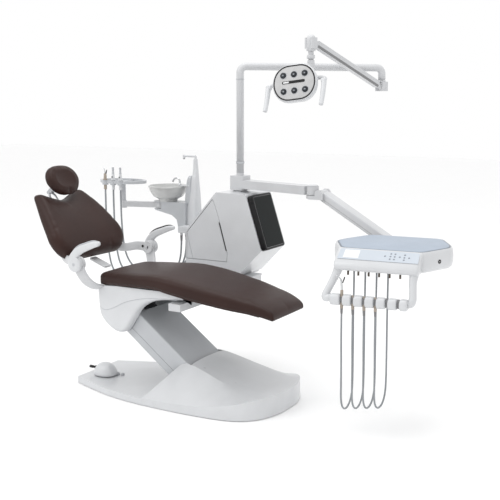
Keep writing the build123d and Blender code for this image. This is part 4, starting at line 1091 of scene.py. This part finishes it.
def add_tray():
    """The tray: a bellied body, a sloped fascia with a rounded nose, an inset mat and the handle."""
    levels = [(0.90, 0.90, 786, 40), (0.95, 0.95, 788, 42), (0.985, 0.985, 798, 44), (1.0, 1.0, 818, 46),
              (1.0, 1.0, 846, 46), (0.992, 0.99, 868, 44), (0.978, 0.975, 880, 42), (0.962, 0.957, 884.6, 40),
              (0.952, 0.947, 883.5, 38), (0.950, 0.945, 880, 38)]
    rings = [tray_ring(*level) for level in levels]
    new_mesh("tray_shell", *loft(rings), "tray", SHELL, "white_shell", ("tray_body",), 50)
    mat_levels = [(0.948, 0.943, 880.4, 38), (0.947, 0.942, 883.6, 38), (0.944, 0.938, 884.6, 38)]
    new_mesh("tray_mat_rim", *loft([tray_ring(*level) for level in mat_levels]), "tray", RIM, "mat_grey")
    mat = [(0.925, 0.918, 884.4, 34), (0.923, 0.916, 886.2, 34), (0.918, 0.911, 886.8, 33)]
    new_mesh("tray_mat_pad", *loft([tray_ring(*level) for level in mat]), "tray", MAT, "mat_grey",
             ("tray_mat",))
    section = [(-218, 885.4), (-236, 884), (-262, 864), (-288, 840), (-300, 825), (-307, 811), (-306, 798),
               (-298, 789),
               (-284, 785.5), (-222, 785.5)]
    section = rounded(section, 9, 4)
    rings = []
    for x, inset in ((-206, 9), (-204, 5), (-200, 2), (-192, 0), (184, 0), (192, 2), (196, 5), (198, 9)):
        middle_y, middle_z = -262, 832
        ring = []
        for y, z in section:
            reach = hypot(y - middle_y, z - middle_z)
            shrink = (reach - inset) / reach
            ring.append(tray_point(x, middle_y + (y - middle_y) * shrink, middle_z + (z - middle_z) * shrink))
        rings.append(ring)
    new_mesh("tray_nose", *loft(rings), "tray", SHELL, "white_shell", sharp=50)
    add_fascia()
    add_tray_handle()
    carry("adjuster_knobs", BROWN, 0.8)
    for number, knob_x in enumerate(KNOB_X):
        place = tray_point(knob_x, -262, 785)
        lathe(f"adjuster_ring_{number}", [(3, 0), (7.5, 0), (7.5, 2), (6, 3), (3, 3)], place, (0, 0, -1),
              "tray", SHELL_GREY_AND_SHADE,
              "white_shell", around=24)
    carry("tray_head", METAL, 2.5)
    port = tray_matrix() @ Vector((254, -126, 832))
    normal = Matrix.Rotation(TRAY_YAW, 4, "Z") @ Vector((0.914, -0.406, 0))
    lathe("tray_port", [(1, 0), (9, 0), (10, 1.5), (9.2, 3.5), (7.4, 4), (6.8, 1.6), (1, 1.6)], tuple(port),
          tuple(normal),
          "tray", DARK, "dark_plastic", around=32)
    lathe("tray_port_core", [(0.5, 0), (3.4, 0), (3.4, 2.6), (2.4, 3.4), (0.5, 3.6)], tuple(port),
          tuple(normal),
          "tray", BRIGHT, "steel_bright", around=24)


def add_tray_handle():
    """The hanging frame: legs that grow out of the nose and bend into a bar of rounded grips."""
    line = [(-190, -264, 806), (-194, -276, 782), (-207, -290, 744), (-224, -304, 704), (-237, -313, 674),
            (-236, -318, 656), (-214, -319, BAR_Z), (-150, -319, BAR_Z), (-40, -319, BAR_Z),
            (80, -319, BAR_Z),
            (150, -319, BAR_Z), (172, -318, 661), (180, -314, 680), (178, -304, 712), (173, -290, 752),
            (174, -276, 784), (176, -264, 806)]
    radii = [24, 21, 18.5, 17.5, 18, 19, 19, 17, 16, 16, 17, 19, 18.5, 17.5, 18.5, 21, 24]
    tube("tray_handle_frame", [tray_point(*p) for p in line], radii, "tray", SHELL, "white_shell",
         ("tray_handle",))
    gap = 7
    edges = [-206] + [x for slot in SLOT_X for x in (slot - gap, slot + gap)] + [162]
    for number, (low, high) in enumerate(zip(edges[::2], edges[1::2])):
        rings = []
        for x, size in ((low, 0.80), (low + 1.2, 0.90), (low + 4, 0.97), (low + 9, 1.0), (high - 9, 1.0),
                        (high - 4, 0.97),
                        (high - 1.2, 0.90), (high, 0.80)):
            ring = superellipse(28 * size, 27 * size, 2.6, 40)
            rings.append([tray_point(x, -330 + a, BAR_Z - 3 + b) for a, b in ring])
        new_mesh(f"tray_grip_{number}", *loft(rings), "tray", SHELL, "white_shell", sharp=50)
        if number < 6:
            slot = SLOT_X[number]
            rings = [[tray_point(slot - 8 + t, -322 + a, BAR_Z - 2 + b) for a,
                      b in superellipse(19, 21, 3, 32)]
                     for t in (0, 16)]
            new_mesh(f"tray_slot_{number}", *loft(rings), "tray", SHADE, "white_shell", sharp=40)


def add_fascia():
    """The key film on the sloping fascia: a blank window at the left and round keys at the right."""
    down = Vector((0, -52, -44)).normalized()
    out = Vector((0, -44, 52)).normalized()
    turn = Matrix.Rotation(TRAY_YAW, 4, "Z")
    origin = Vector(tray_point(0, -237.5, 884.6))
    placed = matrix(origin, turn @ Vector((1, 0, 0)), turn @ out)
    flip = 1 if ((placed @ Vector((0, 1, 0))) - origin).dot(turn @ down) > 0 else -1

    def on_film(x, s):
        return (x, flip * s)

    film = rounded([on_film(-190, 3), on_film(190, 3), on_film(194, 66), on_film(-194, 66)], 6)
    slab("fascia_film", film, 1.2, placed, "tray", FASCIA, "white_shell", edge=0.5)
    window = rounded([on_film(-166, 9), on_film(-92, 9), on_film(-92, 58), on_film(-168, 58)], 3)
    slab("fascia_window", window, 2.0, placed, "tray", WINDOW, "white_shell", edge=0.5)
    keys = [(32, 34), (58, 18), (58, 34), (58, 50), (78, 18), (78, 34), (78, 50), (102, 34), (124, 20),
            (124, 36),
            (124, 50), (146, 36)]
    for number, (x, s) in enumerate(keys):
        centre = placed @ Vector((*on_film(x, s), 1.0))
        lathe(f"fascia_key_{number}", [(0.5, 0), (4.4, 0), (4.6, 0.5), (4.0, 0.9), (3.0, 0.8), (0.5, 0.8)],
              tuple(centre), tuple(turn @ out), "tray", KEY, "dark_plastic", around=20)


def add_balance_arm():
    """The delivery side's sloping arm: a rounded box section with a round joint at each end."""
    high, low = Vector((650, 0, 1070)), Vector((1130, 0, 785))
    run = (low - high).normalized()
    over = Vector((-run.z, 0, run.x))
    over = over if over.z > 0 else -over
    rings = []
    for t, scale in ((14, 0.94), (22, 1.0), (200, 1.0), (340, 1.0), ((low - high).length - 22, 1.0),
                     ((low - high).length - 14, 0.94)):
        centre = high + run * t + Vector((0, 455, 0))
        rings.append([tuple(centre + Vector((0, a, 0)) + over * b) for a,
                      b in superellipse(42 * scale, 26 * scale, 7, 48)])
    new_mesh("balance_arm_shell", *loft(rings), "balance_arm", METAL, "white_metal", ("balance_arm",), 30)
    for name, pivot in (("top", high), ("low", low)):
        profile = [(10.3, 0), (22, 0), (24, 2), (24.6, 6), (24.6, 78), (24, 82), (22, 84), (10.3, 84)]
        lathe(f"balance_joint_{name}", profile, (pivot.x, 413, pivot.z), (0, 1, 0), "balance_arm", METAL,
              "white_metal")
    for edge, y in (("near", 412.6), ("far", 497.4)):
        line = [tuple(high + run * t + over * -9 + Vector((0, y, 0))) for t in (40, 200, 360, 510)]
        tube(f"balance_seam_{edge}", line, [0.8] * 4, "balance_arm", SHADE, "white_metal", squash=0.6,
             around=10)


def add_delivery_arms():
    carry("delivery_arm", METAL, 7, 4)
    carry("delivery_elbow", METAL, 3, 3)
    add_balance_arm()
    lathe("elbow_cap", [(1, 0), (28, 0), (30, 1), (29, 5), (24, 7), (1, 8)], (590, 455, 1112), (0, 0, 1),
          "delivery_arm",
          SHELL, "white_shell")
    for number, slot_x in enumerate(SLOT_X[:4]):
        base = tray_point(slot_x, BAR_Y - 14, BAR_Z - 44)
        if number == 0:
            grip = [(2, 0), (7, 0), (7.5, 3), (7.5, 40), (6.6, 46), (7.6, 60), (7.4, 84), (5.4, 90), (2, 90)]
        else:
            grip = [(2, 0), (7, 0), (7.5, 3), (7.5, 50), (6.2, 53), (6.2, 62), (5.2, 66), (2, 66)]
        lathe(f"delivery_grip_{number}", grip, base, (0, 0, 1), "tray", BEIGE, "beige_plastic",
              ("delivery_instruments",) if number == 0 else (), around=32)
    x, y = SLOT_X[0], BAR_Y - 14
    line = [tray_point(x, y, BAR_Z + 40), tray_point(x - 2, y, BAR_Z + 70), tray_point(x - 6, y, BAR_Z + 92),
            tray_point(x - 20, y, BAR_Z + 106), tray_point(x - 36, y, BAR_Z + 112)]
    tube("syringe_tip", line, [6, 5.4, 4.4, 2.6, 1.8], "tray", CHROME, "chrome_spout", around=20)
    button = [tray_point(x + 4, y, BAR_Z + 78), tray_point(x + 10, y, BAR_Z + 96),
              tray_point(x + 13, y, BAR_Z + 106)]
    tube("syringe_lever", button, [2.4, 3.2, 2.4], "tray", DARK, "dark_plastic", around=16)


# ---- light ---------------------------------------------------------------------------
LIGHT_ELBOW = (659, 1265)
NECK = (427, 755)
LAMP = (432, 560, 1660)
LAMP_YAW = atan2(-0.987, 0.162) + pi / 2
LAMP_TILT = radians(-16)
LAMP_ROLL = radians(7)


def lamp_matrix(tilt=LAMP_TILT):
    made = Matrix.Rotation(LAMP_YAW, 4, "Z") @ Matrix.Rotation(-LAMP_ROLL, 4,
                                                               "Y") @ Matrix.Rotation(tilt, 4, "X")
    made.translation = Vector(LAMP)
    return made


def add_light_arms():
    carry("light_arm", METAL, 0)
    carry("light_knuckle", METAL, 2)
    carry("light_balance_arm", METAL, 6, 4)
    carry("light_neck", METAL, 3)
    reach = Vector((NECK[0] - LIGHT_ELBOW[0], NECK[1] - LIGHT_ELBOW[1], 0)).normalized()
    across = Vector((-reach.y, reach.x, 0))
    if across.y > 0:
        across = -across
    low, high = Vector((*LIGHT_ELBOW, 1648)), Vector((*NECK, 1905))
    run = (high - low).normalized()
    down = run.cross(across)
    if down.z > 0:
        down = -down
    # A thin grey sheet along the lower side of the light's balance arm: painted shade for the arm's
    # underside.
    start, stop = low + run * 46, high - run * 46
    corners = [start + across * 20.4 + down * 5, stop + across * 20.4 + down * 5,
               stop + across * 20.4 + down * 20.4,
               start + across * 20.4 + down * 20.4]
    outer = [tuple(c + across * 0.8) for c in corners]
    new_mesh("light_arm_painted_shade", *loft([[tuple(c) for c in corners], outer]), "light_balance_arm", SHADE,
             "white_metal")
    dome = [(1, 0), (25, 0), (26.5, 3), (26.5, 62), (25.5, 74), (21, 84), (13, 90), (1, 92)]
    lathe("light_neck_cap", dome, (*NECK, 1848), (0, 0, 1), "light_neck", METAL, "white_metal")
    lathe("light_neck_ring", [(16, 0), (22.5, 0), (23, 1.5), (23, 18), (22, 20), (16, 20)], (*NECK, 1806),
          (0, 0, 1),
          "light_neck", METAL, "white_metal")
    lathe("light_collar", [(22.3, 0), (25, 0), (25.4, 2), (25.4, 10), (24.4, 12), (22.3, 12)],
          (40, 620, 1206), (0, 0, 1),
          "light_arm", SHELL_GREY_AND_SHADE, "white_metal")
    lathe("light_joint", [(22.3, 0), (24.4, 0.4), (24.6, 4), (22.3, 4.6)], (40, 620, 1690), (0, 0, 1),
          "light_arm",
          SHELL_GREY_AND_SHADE, "white_metal")


def lamp_ring(scale, y, inset=0.0, count=72):
    placed = lamp_matrix()
    ring = []
    straight, end = 30 * scale, 97 * scale - inset
    for i in range(count):
        angle = 2 * pi * (i + 0.5) / count
        a, b = cos(angle), sin(angle)
        side = 1 if a > 0 else -1
        ring.append(tuple(placed @ Vector((side * straight + end * abs(a) ** 0.92 * side, y,
                                           1.08 * end * b))))
    return ring


def add_lamp():
    """The lamp head: a bellied shell, a black gasket, a grey face with six lenses, two handles."""
    shell = [(0.955, -34), (0.985, -33), (1.0, -28), (1.01, -14), (1.0, 0), (0.965, 14), (0.89, 28),
             (0.76, 40),
             (0.56, 48), (0.3, 52)]
    new_mesh("lamp_shell", *loft([lamp_ring(s, y) for s, y in shell]), "lamp", SHELL, "white_shell",
             ("lamp_housing",), 60)
    gasket = [(0.955, -33.6, 0), (0.95, -36.4, 0), (0.945, -36.6, 4), (0.94, -34, 5)]
    new_mesh("lamp_gasket", *loft([lamp_ring(s, y, i) for s, y, i in gasket]), "lamp", BLACK, "black_gloss")
    face = [(0.94, -33.6, 5), (0.938, -35.2, 6), (0.93, -35.6, 8)]
    new_mesh("lamp_face", *loft([lamp_ring(s, y, i) for s, y, i in face]), "lamp", FACE, "grey_shell")
    placed = lamp_matrix()
    outward = placed.to_3x3() @ Vector((0, -1, 0))
    number = 0
    for x in (-62, 0, 62):
        for z in (-46, 46):
            centre = tuple(placed @ Vector((x, -35, z)))
            bezel = [(12, 0), (21, 0), (20.6, 1.6), (19.5, 2.0), (18.2, 1.2), (17.5, -1.0), (12, -1)]
            lathe(f"lens_bezel_{number}", bezel, centre, tuple(outward), "lamp", SHELL_GREY_AND_SHADE, "grey_shell")
            dome = [(17.8, 0), (17.4, 1.0), (14.4, 2.6), (10, 3.8), (5.5, 4.5), (0.5, 4.8)]
            lathe(f"lens_glass_{number}", dome, centre, tuple(outward), "lamp", LENS, "lens_glass",
                  ("lamp_lenses",) if number == 0 else ())
            core = [(4.6, 4), (4.4, 4.9), (3, 5.4), (0.5, 5.6)]
            lathe(f"lens_core_{number}", core, centre, tuple(outward), "lamp", ORB, "lens_glass", around=28)
            number += 1
    across = placed.to_3x3() @ Vector((1, 0, 0))
    bar_place = matrix(placed @ Vector((-4, -35.2, 4)), across, outward)
    slot = rounded([(-66, -8), (66, -8), (66, 8), (-66, 8)], 7.9, 6)
    slab("lamp_slot", slot, 1.6, bar_place, "lamp", BLACK, "black_gloss", edge=0.5)
    badge = rounded([(-60, -5), (-26, -5), (-26, 5), (-60, 5)], 4.9, 5)
    slab("lamp_sensor", badge, 2.4, bar_place, "lamp", BRIGHT, "steel_bright", edge=0.5)
    add_yoke()


def add_yoke():
    level = lamp_matrix(0)
    upright = Matrix.Translation(Vector(LAMP)) @ Matrix.Rotation(LAMP_YAW, 4, "Z")

    def at(x, y, z):
        return tuple(level @ Vector((x, y, z)))

    neck = upright.inverted() @ Vector((*NECK, 1768))
    line = [(neck.x, neck.y, neck.z + 27), (neck.x, neck.y, neck.z), (neck.x * 0.7, neck.y * 0.93, 78),
            (0, 134, 46),
            (0, 112, 20)]
    tube("yoke_stem", [tuple(upright @ Vector(p)) for p in line], [21, 22, 24, 26, 22], "lamp_yoke", METAL,
         "white_metal",
         ("lamp_yoke",))
    for side in (-1, 1):
        name = "right" if side > 0 else "left"
        line = [(0, 112, 22), (side * 60, 112, 26), (side * 118, 98, 24), (side * 150, 60, 14),
                (side * 158, 20, 4),
                (side * 158, 0, 0)]
        tube(f"yoke_arm_{name}", [at(*p) for p in line], [13, 13, 12, 12, 12, 13], "lamp_yoke", METAL,
             "white_metal")
        lathe(f"yoke_pivot_{name}", [(2, 0), (14, 0), (15, 2), (15, 19), (13, 22), (2, 23)],
              at(side * 168, 0, 0),
              tuple(level.to_3x3() @ Vector((-side, 0, 0))), "lamp_yoke", SHELL, "white_shell", around=36)
        line = [(side * 162, 0, 6), (side * 162 - 3, -12, -26), (side * 162 - 9, -34, -78),
                (side * 162 - 16, -60, -128)]
        tube(f"lamp_handle_{name}", [at(*p) for p in line], [15, 14.5, 13.5, 12.5], "lamp_yoke", SHELL,
             "white_shell")


# ---- lift and everything carried over --------------------------------------------------
def add_mechanism():
    carry("base_plate", STEEL, 1)
    carry("pivot_frame", STEEL, 1)
    carry("lower_pin", BRIGHT, 0.8)
    carry("upper_pin", BRIGHT, 0.8)
    carry("lift_motor", BLACK, 2)
    carry("lift_beam", STEEL, 1.5)
    carry("lift_arm_cover", SHELL_GREY_AND_SHADE, 5, 4)
    carry("parallel_link", STEEL, 0.8)
    carry("seat_frame", STEEL, 1.0)
    carry("backrest_actuator", BLACK, 1.5)
    carry("headrest_bracket", SHELL_GREY_AND_SHADE, 1.5)
    placed = back_matrix()
    for side in (-1, 1):
        rail = [tuple(placed @ Vector((u, side * 24, -54))) for u in (212, 300, 380, 450)]
        tube(f"headrest_rail_{'left' if side > 0 else 'right'}", rail, [5.5] * 4, "headrest_slide", BRIGHT,
             "steel_bright",
             ("headrest_bar",) if side > 0 else (), around=24)
    tie = [tuple(placed @ Vector((u, y, -54))) for u,
           y in ((450, -25), (468, -14), (476, 0), (468, 14), (450, 25))]
    tube("headrest_tie", tie, [6, 7, 8, 7, 6], "headrest_slide", SHELL_GREY_AND_SHADE, "steel_bright", around=24)
    angle = radians(37.2)
    run, up = Vector((-cos(angle), 0, sin(angle))), Vector((sin(angle), 0, cos(angle)))
    low_pivot = Vector((145.7, 0, 135))
    for side in (-1, 1):
        name = "left" if side > 0 else "right"
        line = [low_pivot + run * t + up * -26 + Vector((0, side * 157.6, 0)) for t in (30, 150, 280, 420)]
        tube(f"arm_seam_{name}", [tuple(p) for p in line], [0.9, 0.9, 0.9, 0.9], "lift_arm", STEEL,
             "grey_shell",
             squash=0.6, around=10)


add_camera()
add_hoses()
add_seat()
add_back()
add_head()
add_base()
add_foot_control()
add_seat_cover()
add_hips()
add_armrests()
add_unit()
add_tower()
add_assistant()
add_tray()
add_delivery_arms()
add_light_arms()
add_lamp()
add_mechanism()

add_world(1.0)
add_light("key", (-2.4, -3.6, 4.6), (0.1, 0, 0.7), (2.6, 2.6), 60)
add_light("top", (0.2, 0.4, 5.2), (0.2, 0.2, 0), (3.4, 3.4), 75)
SCENE.view_settings.view_transform = "Standard"
bpy.ops.mesh.primitive_plane_add(size=40, location=(0, 0, 0))
floor = bpy.context.object
floor.name = "floor"
floor.data.materials.append(FLOOR)
